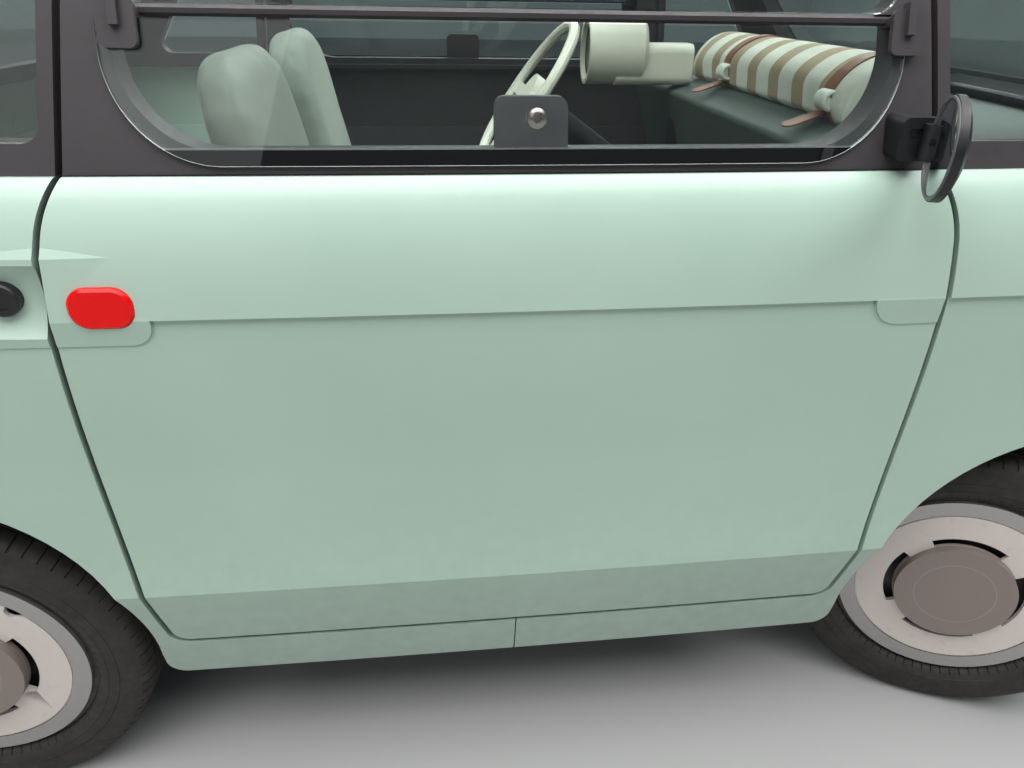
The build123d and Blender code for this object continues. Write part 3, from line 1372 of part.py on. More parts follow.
with BuildPart() as hanger:
    with BuildSketch(Plane.XY.offset(hanger_low_z)):
        with Locations((HANGER_X - HANGER_WIDTH / 2, DRIVER_Y)):
            Rectangle(HANGER_WIDTH, 2 * HANGER_HALF_Y)
    extrude(amount=RIDGE_Z - hanger_low_z)
    add(dashboard.part, mode=Mode.SUBTRACT)
with BuildPart() as steering_column:
    add(column_solid.part.solids().sort_by(Axis.X)[0])
    add(hanger.part.solids().sort_by(Axis.Z)[0])
steering_column.part.label = "steering_column"
export_step(steering_column.part, "parts/steering_column.step")

with BuildPart() as steering_wheel:
    with BuildSketch(Plane(origin=WHEEL_CENTRE, x_dir=(0, 1, 0), z_dir=(COLUMN_DIR[2], 0, -COLUMN_DIR[0]))):
        with Locations((STEER_RIM_R, 0)):
            RegularPolygon(STEER_GRIP_R, STEER_GRIP_FACES)
    revolve(axis=Axis(WHEEL_CENTRE, COLUMN_DIR))
    with BuildSketch(column_plane.offset(-STEER_HUB_RISE)):
        Circle(STEER_HUB_R)
    extrude(amount=STEER_HUB_RISE + STEER_HUB_DEPTH)
    with BuildSketch(column_plane):
        Circle(STEER_NECK_R)
    extrude(amount=HOUSING_START - RUN_GAP)
    with BuildSketch(column_plane):
        Rectangle(2 * STEER_RIM_R, STEER_SPOKE_WIDTH)
        with Locations((0, -STEER_RIM_R / 2)):
            Rectangle(STEER_SPOKE_WIDTH, STEER_RIM_R)
    extrude(amount=STEER_SPOKE_THICK)
steering_wheel.part.label = "steering_wheel"
export_step(steering_wheel.part, "parts/steering_wheel.step")

# Seats: a plain base box each, and one padded solid for cushion and backrest
SEAT_WIDTH = 390
SEAT_Y = 270
SEAT_LOW_Z = 492
SEAT_EDGE_R = 22
SEAT_BACK_R = 110
SEAT_BACK_THICK = 52
SEAT_BACK_FOOT = 20
SEAT_BACK_FRONT = Vector(-250, -SEAT_Y, 560)
SEAT_BACK_TOP = Vector(-375, -SEAT_Y, 1148)
SEAT_POINTS = [(70, SEAT_LOW_Z), (78, 580), (-250, 560), (-322, SEAT_LOW_Z)]
with BuildPart() as seat_bases:
    for side in (-1, 1):
        with BuildSketch(Plane.XY.offset(FLOOR_Z + SHEET + SEAT_GAP)):
            with Locations((-160, side * SEAT_Y)):
                RectangleRounded(400, 330, 30)
        extrude(amount=SEAT_LOW_Z - FLOOR_Z - SHEET - 2 * SEAT_GAP)
seat_bases.part.label = "seat_bases"
export_step(seat_bases.part, "parts/seat_bases.step")

seat_up = SEAT_BACK_TOP - SEAT_BACK_FRONT
back_plane = Plane(origin=SEAT_BACK_FRONT, x_dir=(0, 1, 0), z_dir=Vector(0, 1, 0).cross(seat_up))
with BuildPart() as seat:
    with BuildSketch(Plane.XZ.offset(SEAT_Y - SEAT_WIDTH / 2)) as outline:
        with BuildLine():
            Polyline(*SEAT_POINTS, close=True)
        make_face()
        fillet(outline.vertices(), SEAT_EDGE_R)
    extrude(amount=SEAT_WIDTH)
    with BuildSketch(back_plane) as outline:
        with BuildLine():
            half = SEAT_WIDTH / 2
            Polyline(*block(-half, half, -2 * SEAT_BACK_FOOT, seat_up.length), close=True)
        make_face()
        fillet(outline.vertices().group_by(Axis.Y)[-1], SEAT_BACK_R)
        fillet(outline.vertices().group_by(Axis.Y)[0], SEAT_BACK_FOOT)
    extrude(amount=-SEAT_BACK_THICK)
with BuildPart() as seats:
    add(seat.part)
    add(flipped(seat.part))
seats.part.label = "seats"
export_step(seats.part, "parts/seats.step")

# Soft roll bag strapped to the top of the dashboard
BAG_X = 600
BAG_HALF = 85
BAG_LOW_Z = 1040
BAG_TOP_Z = 1134
BAG_LENGTH = 800
BAG_Y = -100
with BuildPart() as dash_bag:
    with BuildSketch(Plane.XZ.offset(-BAG_Y - BAG_LENGTH / 2)):
        with BuildLine():
            Line((BAG_X - BAG_HALF, BAG_LOW_Z), (BAG_X + BAG_HALF, BAG_LOW_Z))
            ThreePointArc(
                (BAG_X + BAG_HALF, BAG_LOW_Z), (BAG_X, BAG_TOP_Z), (BAG_X - BAG_HALF, BAG_LOW_Z)
            )
        make_face()
    extrude(amount=BAG_LENGTH)
    add(dashboard.part, mode=Mode.SUBTRACT)
dash_bag.part.label = "dash_bag"
export_step(dash_bag.part, "parts/dash_bag.step")
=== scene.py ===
"""Two-seat electric microcar: finishes, rubber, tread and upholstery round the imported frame."""
import math

import bpy
from mathutils import Matrix, Vector


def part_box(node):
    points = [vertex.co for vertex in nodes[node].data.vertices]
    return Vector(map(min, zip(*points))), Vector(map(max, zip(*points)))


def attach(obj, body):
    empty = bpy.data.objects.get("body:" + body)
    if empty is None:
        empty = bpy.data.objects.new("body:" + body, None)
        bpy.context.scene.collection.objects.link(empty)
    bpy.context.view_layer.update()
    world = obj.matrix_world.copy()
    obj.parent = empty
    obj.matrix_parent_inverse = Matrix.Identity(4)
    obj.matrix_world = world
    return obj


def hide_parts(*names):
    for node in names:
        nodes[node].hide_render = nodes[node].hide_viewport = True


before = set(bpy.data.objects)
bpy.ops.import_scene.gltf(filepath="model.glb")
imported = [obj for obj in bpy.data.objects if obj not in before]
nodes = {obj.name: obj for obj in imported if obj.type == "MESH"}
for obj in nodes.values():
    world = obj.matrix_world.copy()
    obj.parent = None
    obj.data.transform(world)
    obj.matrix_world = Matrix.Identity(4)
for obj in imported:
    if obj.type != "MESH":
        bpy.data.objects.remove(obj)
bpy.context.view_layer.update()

# Camera. Stands 0.8 m off the right-hand door, above the belt, and looks down at it through a wide
# lens, as in the photograph.
CAMERA_PLACE = Vector((-0.1147, -1.502, 1.216))
CAMERA_YAW = 0.1206
CAMERA_PITCH = -0.5024
CAMERA_ROLL = 0.0193
FOCAL_PIXELS = 719.2
IMAGE_WIDTH = 1024
SENSOR_WIDTH = 36
NEAREST_SEEN = 0.05
ahead = Vector((
    math.sin(CAMERA_YAW) * math.cos(CAMERA_PITCH),
    math.cos(CAMERA_YAW) * math.cos(CAMERA_PITCH),
    math.sin(CAMERA_PITCH),
))
level_right = Vector((math.cos(CAMERA_YAW), -math.sin(CAMERA_YAW), 0))
level_up = level_right.cross(ahead)
right = level_right * math.cos(CAMERA_ROLL) + level_up * math.sin(CAMERA_ROLL)
up = level_up * math.cos(CAMERA_ROLL) - level_right * math.sin(CAMERA_ROLL)
bpy.ops.object.camera_add()
camera = bpy.context.object
camera.name = "camera"
camera_turn = Matrix((right, up, -ahead)).transposed().to_4x4()
camera.matrix_world = Matrix.Translation(CAMERA_PLACE) @ camera_turn
camera.data.sensor_width = SENSOR_WIDTH
camera.data.lens = FOCAL_PIXELS / IMAGE_WIDTH * SENSOR_WIDTH
camera.data.clip_start = NEAREST_SEEN
bpy.context.scene.camera = camera

# Studio. A pale matt floor, an even pale sky and three large soft lamps, as under an overcast sky:
# the main one overhead, a weak one behind the camera, and one on the far side.
FLOOR_SIZE = 40
FLOOR_GREY = (0.36, 0.36, 0.355, 1)
FLOOR_ROUGHNESS = 0.85
SKY_PALE = (0.86, 0.93, 1.0, 1)
SKY_STRENGTH = 0.20
# Columns: name, place, point that it faces, width, height, watts
LAMPS = (
    ("soft_top", (0.1, -1.5, 5.4), (0, -0.5, 0.8), 8.0, 5.0, 640),
    ("soft_side", (-2.6, -4.2, 2.6), (0, -0.6, 0.6), 3.0, 2.2, 22),
    ("soft_far", (1.5, 3.6, 4.2), (0, 0, 0.8), 4.0, 3.0, 190),
)
bpy.ops.mesh.primitive_plane_add(size=FLOOR_SIZE)
floor = bpy.context.object
floor.name = "floor"
floor_paint = bpy.data.materials.new("floor_paint")
floor_paint.use_nodes = True
shader = floor_paint.node_tree.nodes["Principled BSDF"]
shader.inputs["Base Color"].default_value = FLOOR_GREY
shader.inputs["Roughness"].default_value = FLOOR_ROUGHNESS
floor.data.materials.append(floor_paint)

sky = bpy.data.worlds.new("sky")
bpy.context.scene.world = sky
bpy.context.scene.view_settings.view_transform = "Standard"
sky.use_nodes = True
sky.node_tree.nodes["Background"].inputs["Color"].default_value = SKY_PALE
sky.node_tree.nodes["Background"].inputs["Strength"].default_value = SKY_STRENGTH

for name, place, target, width, height, watts in LAMPS:
    bpy.ops.object.light_add(type="AREA", location=place)
    lamp = bpy.context.object
    lamp.name = name
    lamp.data.shape = "RECTANGLE"
    lamp.data.size, lamp.data.size_y = width, height
    lamp.data.energy = watts
    lamp.rotation_euler = (Vector(target) - Vector(place)).to_track_quat("-Z", "Y").to_euler()

# Body panels. Moulded plastic panels, screwed to the frame and painted in satin mint: fine orange
# peel, faint clouds in the colour, and a dark grey-green of painted shade mixed with road dust that
# darkens the panels towards the ground and thins out towards the belt.
MINT = (0.395, 0.535, 0.445, 1)
MINT_PALE = (0.415, 0.555, 0.465, 1)
# Dark grey-green that stands for painted shade mixed with road dust low on the panels
SHADE_AND_DUST = (0.17, 0.19, 0.165, 1)
SHADE_AND_DUST_TOP_Z = 0.62
SHADE_AND_DUST_FULL_Z = 0.20
SHADE_AND_DUST_MOST = 0.75
BODY_PANELS = ("nose_panel", "tail_panel", "corner_panels", "door_panel_right", "door_panel_left")
# Sockets of a Mix node that mixes colours
MIX_FACTOR, MIX_LOW, MIX_HIGH, MIX_RESULT = 0, 6, 7, 2


def finish(node_names, material):
    """Give CAD nodes a material in place of the one that they came with."""
    for node_name in node_names:
        mesh = nodes[node_name].data
        mesh.materials.clear()
        mesh.materials.append(material)


def plain_shader(name, color, roughness, metallic=0):
    """New material with its shader set, and the two that later nodes link to."""
    material = bpy.data.materials.new(name)
    material.use_nodes = True
    tree = material.node_tree
    shader = tree.nodes["Principled BSDF"]
    shader.inputs["Base Color"].default_value = color
    shader.inputs["Roughness"].default_value = roughness
    shader.inputs["Metallic"].default_value = metallic
    return material, tree, shader


def add_noise(tree, scale, detail=3):
    """Noise on Object coordinates, with its scale in cycles per metre."""
    place = tree.nodes.new("ShaderNodeTexCoord")
    noise = tree.nodes.new("ShaderNodeTexNoise")
    noise.inputs["Scale"].default_value = scale
    noise.inputs["Detail"].default_value = detail
    tree.links.new(place.outputs["Object"], noise.inputs["Vector"])
    return noise.outputs["Fac"]


def mix_colors(tree, factor, low, high):
    """Colour between two, led by a factor."""
    mix = tree.nodes.new("ShaderNodeMix")
    mix.data_type = "RGBA"
    for index, value in ((MIX_LOW, low), (MIX_HIGH, high)):
        if isinstance(value, tuple):
            mix.inputs[index].default_value = value
        else:
            tree.links.new(value, mix.inputs[index])
    tree.links.new(factor, mix.inputs[MIX_FACTOR])
    return mix.outputs[MIX_RESULT]


def spread(tree, value, from_low, from_high, to_low=0, to_high=1):
    """Value stretched from one range to another and clamped."""
    ramp = tree.nodes.new("ShaderNodeMapRange")
    for index, number in enumerate((from_low, from_high, to_low, to_high), start=1):
        ramp.inputs[index].default_value = number
    tree.links.new(value, ramp.inputs[0])
    return ramp.outputs[0]


def multiplied(tree, first, second):
    """Product of two values."""
    product = tree.nodes.new("ShaderNodeMath")
    product.operation = "MULTIPLY"
    tree.links.new(first, product.inputs[0])
    tree.links.new(second, product.inputs[1])
    return product.outputs[0]


def height_above_ground(tree):
    """Z of the Object coordinates, in metres above the ground."""
    place = tree.nodes.new("ShaderNodeTexCoord")
    split = tree.nodes.new("ShaderNodeSeparateXYZ")
    tree.links.new(place.outputs["Object"], split.inputs["Vector"])
    return split.outputs["Z"]


def vary_color(tree, shader, factor, low, high):
    """Base colour that a factor leads from one colour to another."""
    tree.links.new(mix_colors(tree, factor, low, high), shader.inputs["Base Color"])


def vary_roughness(tree, shader, value, to_low, to_high, from_low=0.3, from_high=0.7):
    """Roughness that a noise, or another value, leads from one number to another."""
    wander = spread(tree, value, from_low, from_high, to_low, to_high)
    tree.links.new(wander, shader.inputs["Roughness"])


def add_bump(tree, shader, height, strength, distance):
    """Bump from a height value."""
    bump = tree.nodes.new("ShaderNodeBump")
    bump.inputs["Strength"].default_value = strength
    bump.inputs["Distance"].default_value = distance
    tree.links.new(height, bump.inputs["Height"])
    tree.links.new(bump.outputs["Normal"], shader.inputs["Normal"])


mint_paint, tree, shader = plain_shader("mint_paint", MINT, 0.36)
shader.inputs["Coat Weight"].default_value = 0.25
shader.inputs["Coat Roughness"].default_value = 0.22
clouds = spread(tree, add_noise(tree, 3.5), 0.35, 0.65)
clean_paint = mix_colors(tree, clouds, MINT, MINT_PALE)
# Painted shade and road dust: darker towards the ground, in blotches of noise
shade_and_dust_fall = spread(tree, height_above_ground(tree), SHADE_AND_DUST_TOP_Z, SHADE_AND_DUST_FULL_Z, 0, SHADE_AND_DUST_MOST)
shade_and_dust_spots = spread(tree, add_noise(tree, 38, 6), 0.2, 0.9, 0.25, 0.75)
vary_color(tree, shader, multiplied(tree, shade_and_dust_fall, shade_and_dust_spots), clean_paint, SHADE_AND_DUST)
vary_roughness(tree, shader, add_noise(tree, 60, 4), 0.33, 0.42)
add_bump(tree, shader, add_noise(tree, 420, 2), 0.05, 0.0006)
finish(BODY_PANELS, mint_paint)

# Reflectors. Clear moulded lenses over a sheet of fine prisms, let into the latch pads of the
# doors: red at the rear of the right door, amber at the front of the left one.
PRISM_PITCH = 0.0024
REFLECTOR_RED = (0.78, 0.0, 0.0, 1)
REFLECTOR_RED_GLINT = (0.95, 0.0, 0.0, 1)
REFLECTOR_AMBER = (0.62, 0.16, 0.01, 1)
REFLECTOR_AMBER_GLINT = (0.95, 0.36, 0.04, 1)


def prism_rows(tree, slant, pitch=PRISM_PITCH):
    """Soft ridges across one slant of the Object coordinates."""
    place = tree.nodes.new("ShaderNodeTexCoord")
    along = tree.nodes.new("ShaderNodeVectorMath")
    along.operation = "DOT_PRODUCT"
    along.inputs[1].default_value = [part * math.pi / pitch for part in slant]
    tree.links.new(place.outputs["Object"], along.inputs[0])
    wave = tree.nodes.new("ShaderNodeMath")
    wave.operation = "SINE"
    tree.links.new(along.outputs["Value"], wave.inputs[0])
    return spread(tree, wave.outputs[0], -1, 1)


def lens_material(name, color, glint):
    """Moulded lens: gloss outside, with the fine diamond grid of its prisms under the surface,
    drawn in the bump and as painted glints in a lighter colour.
    """
    material, tree, shader = plain_shader(name, color, 0.22)
    prisms = multiplied(tree, prism_rows(tree, (1, 0, 1)), prism_rows(tree, (1, 0, -1)))
    # Painted glints: the prism grid lightens the colour towards the glint colour
    vary_color(tree, shader, prisms, color, glint)
    shader.inputs["Specular IOR Level"].default_value = 0.3
    add_bump(tree, shader, prisms, 0.12, 0.0004)
    return material


red_reflector = lens_material("red_reflector", REFLECTOR_RED, REFLECTOR_RED_GLINT)
amber_reflector = lens_material("amber_reflector", REFLECTOR_AMBER, REFLECTOR_AMBER_GLINT)
finish(("door_reflector_right",), red_reflector)
finish(("door_reflector_left",), amber_reflector)

# Window frames. Dark grey-brown plastic with a fine moulded grain. The roof surround is one piece
# with the pillars, and each door has its own frame, screwed to its panel.
FRAME_DARK = (0.034, 0.030, 0.032, 1)
FRAME_WORN = (0.050, 0.044, 0.047, 1)
frame_plastic, tree, shader = plain_shader("frame_plastic", FRAME_DARK, 0.55)
vary_color(tree, shader, add_noise(tree, 9), FRAME_DARK, FRAME_WORN)
vary_roughness(tree, shader, add_noise(tree, 80, 4), 0.46, 0.62)
add_bump(tree, shader, add_noise(tree, 1600, 2), 0.25, 0.0004)
finish(("greenhouse_frame", "door_frame_right", "door_frame_left"), frame_plastic)

# Glass. Thin tinted panes of safety glass. The door's flap pane has a black printed band along its
# foot, a ground edge that shows as a pale line, and a soft rubber seal pressed in behind its rim.
PANES = ("windscreen", "rear_window", "roof_glass", "quarter_glasses")
DOOR_PANES = ("door_glass_right", "door_glass_left")
SIDES = (("right", -1), ("left", 1))
GLASS_TINT = (0.66, 0.74, 0.71, 1)
GLASS_SMEARED = (0.63, 0.71, 0.68, 1)
BLACK_PRINT = (0.006, 0.006, 0.007, 1)
PRINT_TOP_Z = 1.054
PRINT_SOFT = 0.0012
GROUND_DULL = (0.50, 0.56, 0.53, 1)
GROUND_MEAN = (0.62, 0.68, 0.64, 1)
GROUND_PALE = (0.72, 0.78, 0.74, 1)
FLAP_TOP_Z = 1.182
PANE_FACING = 0.6
MERGE_WITHIN = 0.00002


def pane_material(name, printed):
    """Tinted glass. A printed pane is black and opaque below the top of its band."""
    material, tree, shader = plain_shader(name, GLASS_TINT, 0.015)
    shader.inputs["IOR"].default_value = 1.45
    shader.inputs["Transmission Weight"].default_value = 1
    if printed:
        above = spread(tree, height_above_ground(tree), PRINT_TOP_Z - PRINT_SOFT, PRINT_TOP_Z)
        vary_color(tree, shader, above, BLACK_PRINT, GLASS_TINT)
        tree.links.new(above, shader.inputs["Transmission Weight"])
    else:
        smear = spread(tree, add_noise(tree, 6, 5), 0.35, 0.75)
        vary_color(tree, shader, smear, GLASS_TINT, GLASS_SMEARED)
    return material


def deselect():
    """Nothing stays selected before a piece is added."""
    bpy.ops.object.select_all(action="DESELECT")


def copy_piece(source, name):
    """Own copy of an object, with a mesh of its own, as the active piece."""
    deselect()
    piece = bpy.data.objects.new(name, source.data.copy())
    bpy.context.collection.objects.link(piece)
    bpy.context.view_layer.objects.active = piece
    piece.select_set(True)
    return piece


def copy_node(node_name, name):
    """Own copy of a CAD node, with its loose triangles merged, as the active piece."""
    piece = copy_piece(nodes[node_name], name)
    bpy.ops.object.mode_set(mode="EDIT")
    bpy.ops.mesh.select_all(action="SELECT")
    bpy.ops.mesh.remove_doubles(threshold=MERGE_WITHIN)
    bpy.ops.mesh.customdata_custom_splitnormals_clear()
    bpy.ops.object.mode_set(mode="OBJECT")
    return piece


def pick_faces(test):
    """Select the faces of the active piece that pass a test, and stay in edit mode."""
    bpy.ops.object.mode_set(mode="EDIT")
    bpy.ops.mesh.select_mode(type="FACE")
    bpy.ops.mesh.select_all(action="DESELECT")
    bpy.ops.object.mode_set(mode="OBJECT")
    for face in bpy.context.object.data.polygons:
        face.select = test(face)
    bpy.ops.object.mode_set(mode="EDIT")


def strip_of_node(node_name, dropped, inward, proud):
    """A node's skin without the dropped faces, moved along Y and grown, as the active piece."""
    copy_node(node_name, "strip")
    pick_faces(dropped)
    bpy.ops.mesh.delete(type="FACE")
    bpy.ops.mesh.select_all(action="SELECT")
    bpy.ops.transform.translate(value=(0, inward, 0))
    bpy.ops.transform.shrink_fatten(value=proud)


def finish_piece(name, body, material, smooth_angle=40):
    """Name the active piece, put its place in its mesh, and give it its finish and its body."""
    bpy.ops.object.mode_set(mode="OBJECT")
    piece = bpy.context.object
    piece.name = piece.data.name = name
    bpy.ops.object.transform_apply(location=True, rotation=True, scale=True)
    piece.data.materials.clear()
    piece.data.materials.append(material)
    bpy.ops.object.shade_smooth_by_angle(angle=math.radians(smooth_angle))
    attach(piece, body)


finish(PANES, pane_material("clear_glass", False))
finish(DOOR_PANES, pane_material("printed_glass", True))
for node_name in PANES + DOOR_PANES:
    nodes[node_name].visible_shadow = False

seal_rubber, tree, shader = plain_shader("seal_rubber", (0.010, 0.010, 0.010, 1), 0.6)
vary_roughness(tree, shader, add_noise(tree, 150), 0.5, 0.75)
ground_glass, tree, shader = plain_shader("ground_glass", GROUND_MEAN, 0.35)
vary_color(tree, shader, add_noise(tree, 40), GROUND_DULL, GROUND_PALE)
# Columns: name, how far in from the pane's rim, how far proud of it, slot, finish
RIMS = (
    ("flap_edge", 0, 0.0005, "glass", ground_glass),
    ("flap_seal", 0.0045, 0.0015, "black_plastic", seal_rubber),
)
for side_name, side in SIDES:
    for name, inward, proud, slot, material in RIMS:
        strip_of_node(
            f"door_glass_{side_name}",
            lambda face: face.center.z > FLAP_TOP_Z or abs(face.normal.y) > PANE_FACING,
            -side * inward,
            proud,
        )
        finish_piece(f"{name}_{side_name}", f"door_{side_name}", material)

# Door gap rubber. A black hollow section of soft rubber, pushed on the edge of each door panel all
# round, which fills the gap to the body.
RUBBER_INWARD = 0.004
RUBBER_PROUD = 0.0018
EDGE_FACING = 0.55
END_FACING = 0.5
RIM_BAND = 0.030


def is_outline(face, low, high):
    """An edge face of the door panel, near its outline in the side view."""
    if abs(face.normal.y) >= EDGE_FACING:
        return False
    from_end = min(face.center.x - low.x, high.x - face.center.x)
    from_foot_or_top = min(face.center.z - low.z, high.z - face.center.z)
    return min(from_end, from_foot_or_top) < RIM_BAND or abs(face.normal.x) > END_FACING


for side_name, side in SIDES:
    low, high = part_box(f"door_panel_{side_name}")
    strip_of_node(
        f"door_panel_{side_name}",
        lambda face: not is_outline(face, low, high),
        -side * RUBBER_INWARD,
        RUBBER_PROUD,
    )
    finish_piece(f"door_rubber_{side_name}", f"door_{side_name}", seal_rubber)

# Black trim. Satin black injection mouldings: the mirror heads on their stalks, the door buttons,
# the wiper, the steering column's cowl and the boxes under the seats.
black_plastic, tree, shader = plain_shader("black_plastic", (0.010, 0.010, 0.011, 1), 0.45)
vary_roughness(tree, shader, add_noise(tree, 90, 4), 0.36, 0.5)
add_bump(tree, shader, add_noise(tree, 1800, 2), 0.2, 0.0003)
finish(
    (
        "door_mirror_right", "door_mirror_left", "door_buttons", "wiper", "steering_column",
        "seat_bases",
    ),
    black_plastic,
)

# Mirror glass and bezel. A silvered disc let into the head, held by a thin plastic ring that snaps
# over its edge.
HEAD_CENTRE = (0.460, 0.725, 1.066)
HEAD_YAW = math.radians(21.7)
MIRROR_R = 0.0515
MIRROR_THICK = 0.002
MIRROR_BEVEL = 0.0005
BEZEL_R = MIRROR_R + 0.0028
BEZEL_WIRE_R = 0.0024
silvered, tree, shader = plain_shader("silvered", (0.55, 0.58, 0.60, 1), 0.04, 1)
vary_roughness(tree, shader, add_noise(tree, 30, 4), 0.03, 0.07, 0.4, 0.8)
bezel_plastic, tree, shader = plain_shader("bezel_plastic", (0.10, 0.10, 0.10, 1), 0.35)
vary_roughness(tree, shader, add_noise(tree, 60), 0.3, 0.42)
for side_name, side in SIDES:
    centre = (HEAD_CENTRE[0], side * HEAD_CENTRE[1], HEAD_CENTRE[2])
    turned_out = (math.pi / 2, 0, side * HEAD_YAW + math.pi / 2)
    deselect()
    bpy.ops.mesh.primitive_cylinder_add(
        vertices=72, radius=MIRROR_R, depth=MIRROR_THICK, location=centre, rotation=turned_out
    )
    bpy.ops.object.mode_set(mode="EDIT")
    bpy.ops.mesh.select_all(action="SELECT")
    bpy.ops.mesh.bevel(offset=MIRROR_BEVEL, segments=2)
    finish_piece(
        f"mirror_glass_{side_name}", f"door_{side_name}", silvered, smooth_angle=30
    )
    deselect()
    bpy.ops.mesh.primitive_torus_add(
        major_radius=BEZEL_R, minor_radius=BEZEL_WIRE_R, major_segments=96, minor_segments=12,
        location=centre, rotation=turned_out,
    )
    finish_piece(
        f"mirror_bezel_{side_name}", f"door_{side_name}", bezel_plastic,
        smooth_angle=60,
    )

# Flap latch bolt. A button-head steel screw with a socket for its key holds the latch to its plate
# on the pane.
BOLT_X = 0.009
BOLT_Z = 1.090
BOLT_FACE_Y = 0.6655
BOLT_R = 0.011
BOLT_HEIGHT = 0.005
SOCKET_R = 0.0042
SOCKET_LIP = 0.0003
SOCKET_DEPTH = 0.0035
# Columns: step in from the head's edge, rise
BOLT_CROWN = ((0.0022, 0.0022), (0.0026, 0.0011), (BOLT_R - 0.0048 - SOCKET_R, 0.0002))
bolt_steel, tree, shader = plain_shader("bolt_steel", (0.30, 0.28, 0.27, 1), 0.32, 1)
vary_roughness(tree, shader, add_noise(tree, 400), 0.24, 0.42)
for side_name, side in SIDES:
    place = (-side * BOLT_X, side * BOLT_FACE_Y, BOLT_Z)
    deselect()
    bpy.ops.mesh.primitive_cylinder_add(
        vertices=36, radius=BOLT_R, depth=BOLT_HEIGHT, location=place, rotation=(math.pi / 2, 0, 0)
    )
    pick_faces(lambda face: len(face.vertices) > 4 and face.normal.z * side < -END_FACING)
    for step_in, rise in BOLT_CROWN:
        bpy.ops.mesh.inset(thickness=step_in, depth=rise)
    bpy.ops.mesh.inset(thickness=SOCKET_LIP, depth=-SOCKET_DEPTH)
    finish_piece(
        f"latch_bolt_{side_name}", f"door_{side_name}", bolt_steel, smooth_angle=25
    )

# Chassis. Welded steel tubes, arms, knuckles and door hinges under a black coating, with dust that
# sticks to the coating.
COATING = (0.03, 0.03, 0.032, 1)
COATING_DUSTY = (0.12, 0.11, 0.095, 1)
coated_steel, tree, shader = plain_shader("coated_steel", COATING, 0.5, 0.3)
dusty = spread(tree, add_noise(tree, 25, 6), 0.45, 0.75)
vary_color(tree, shader, dusty, COATING, COATING_DUSTY)
finish(
    (
        "chassis_frame", "front_suspension", "rear_suspension", "knuckle_right", "knuckle_left",
        "door_hinges",
    ),
    coated_steel,
)

# Cabin tub and battery case. Black grained plastic: the tub is screwed to the frame and scuffed
# where shoes rub on it, and the battery's plain case hangs under it.
TUB_BLACK = (0.014, 0.016, 0.016, 1)
TUB_SCUFFED = (0.040, 0.040, 0.036, 1)
tub_plastic, tree, shader = plain_shader("tub_plastic", (0.018, 0.020, 0.020, 1), 0.7)
vary_color(tree, shader, spread(tree, add_noise(tree, 14, 5), 0.4, 0.75), TUB_BLACK, TUB_SCUFFED)
add_bump(tree, shader, add_noise(tree, 700), 0.12, 0.0005)
finish(("cabin_tub", "battery_pack"), tub_plastic)

# Dashboard. Soft-touch grey-green moulding with a leather-like grain, screwed to the tub across the
# whole cabin. It carries the instrument pod, the steering column and the bag.
DASH_DEEP = (0.052, 0.068, 0.062, 1)
DASH_PALE = (0.072, 0.092, 0.084, 1)
dash_plastic, tree, shader = plain_shader("dash_plastic", (0.060, 0.078, 0.072, 1), 0.6)
vary_color(tree, shader, add_noise(tree, 11, 4), DASH_DEEP, DASH_PALE)
add_bump(tree, shader, add_noise(tree, 900), 0.3, 0.0005)
finish(("dashboard",), dash_plastic)

# Drive motor. Cast light-metal housing with a rough cast skin, bolted to the rear of the frame, and
# its half shafts.
cast_metal, tree, shader = plain_shader("cast_metal", (0.33, 0.33, 0.33, 1), 0.55, 0.8)
vary_roughness(tree, shader, add_noise(tree, 120, 5), 0.42, 0.68)
add_bump(tree, shader, add_noise(tree, 380, 4), 0.35, 0.0006)
finish(("drive_motor",), cast_metal)

# Instrument pod and steering wheel. Ivory moulded plastic, satin, with a dark glazed dial set into
# the pod's mouth. The pod stands in a cut of the dashboard.
IVORY_DEEP = (0.66, 0.64, 0.54, 1)
IVORY_MEAN = (0.70, 0.68, 0.58, 1)
IVORY_PALE = (0.74, 0.72, 0.63, 1)
DIAL_PLACE = (0.2665, 0.280, 1.095)
DIAL_THICK = 0.003
DIAL_HALF_Y = 0.047
DIAL_HALF_Z = 0.060
# Columns: step in from the dial's edge, rise
DIAL_RIM = ((0.003, 0.0008), (0.002, -0.0016))
ivory, tree, shader = plain_shader("ivory", IVORY_MEAN, 0.32)
vary_color(tree, shader, add_noise(tree, 8), IVORY_DEEP, IVORY_PALE)
add_bump(tree, shader, add_noise(tree, 1500, 2), 0.12, 0.0003)
finish(("instrument_pod", "steering_wheel"), ivory)
dial_glass, tree, shader = plain_shader("dial_glass", (0.010, 0.012, 0.014, 1), 0.08)
vary_roughness(tree, shader, add_noise(tree, 20, 4), 0.06, 0.14, 0.4, 0.8)
deselect()
bpy.ops.mesh.primitive_cylinder_add(
    vertices=72, radius=1, depth=DIAL_THICK, location=DIAL_PLACE, rotation=(0, math.pi / 2, 0)
)
bpy.ops.transform.resize(value=(1, DIAL_HALF_Y, DIAL_HALF_Z))
bpy.ops.object.transform_apply(location=True, rotation=True, scale=True)
pick_faces(lambda face: len(face.vertices) > 4 and face.normal.x < -END_FACING)
for step_in, rise in DIAL_RIM:
    bpy.ops.mesh.inset(thickness=step_in, depth=rise)
finish_piece("dial_face", "body", dial_glass, smooth_angle=30)

# Seats. Foam pads in a smooth cream cover, welded along a piped seam, which rest on the plain boxes
# under them. The cover is painted a darker grey-cream than its own, as painted shade in the cabin.
# Cream darkened to stand for the shade inside the cabin: painted shade
SHADED_CREAM = (0.31, 0.34, 0.29, 1)
SHADED_CREAM_DEEP = (0.25, 0.285, 0.24, 1)
SEAT_VOXEL = 0.0095
SEAT_PRESSURE = 2
PAD_CAP = 0.012
CLOTH_QUALITY = 4
LAST_CLOTH_FRAME = 20
SMOOTHING, SMOOTHING_ROUNDS = 0.5, 16


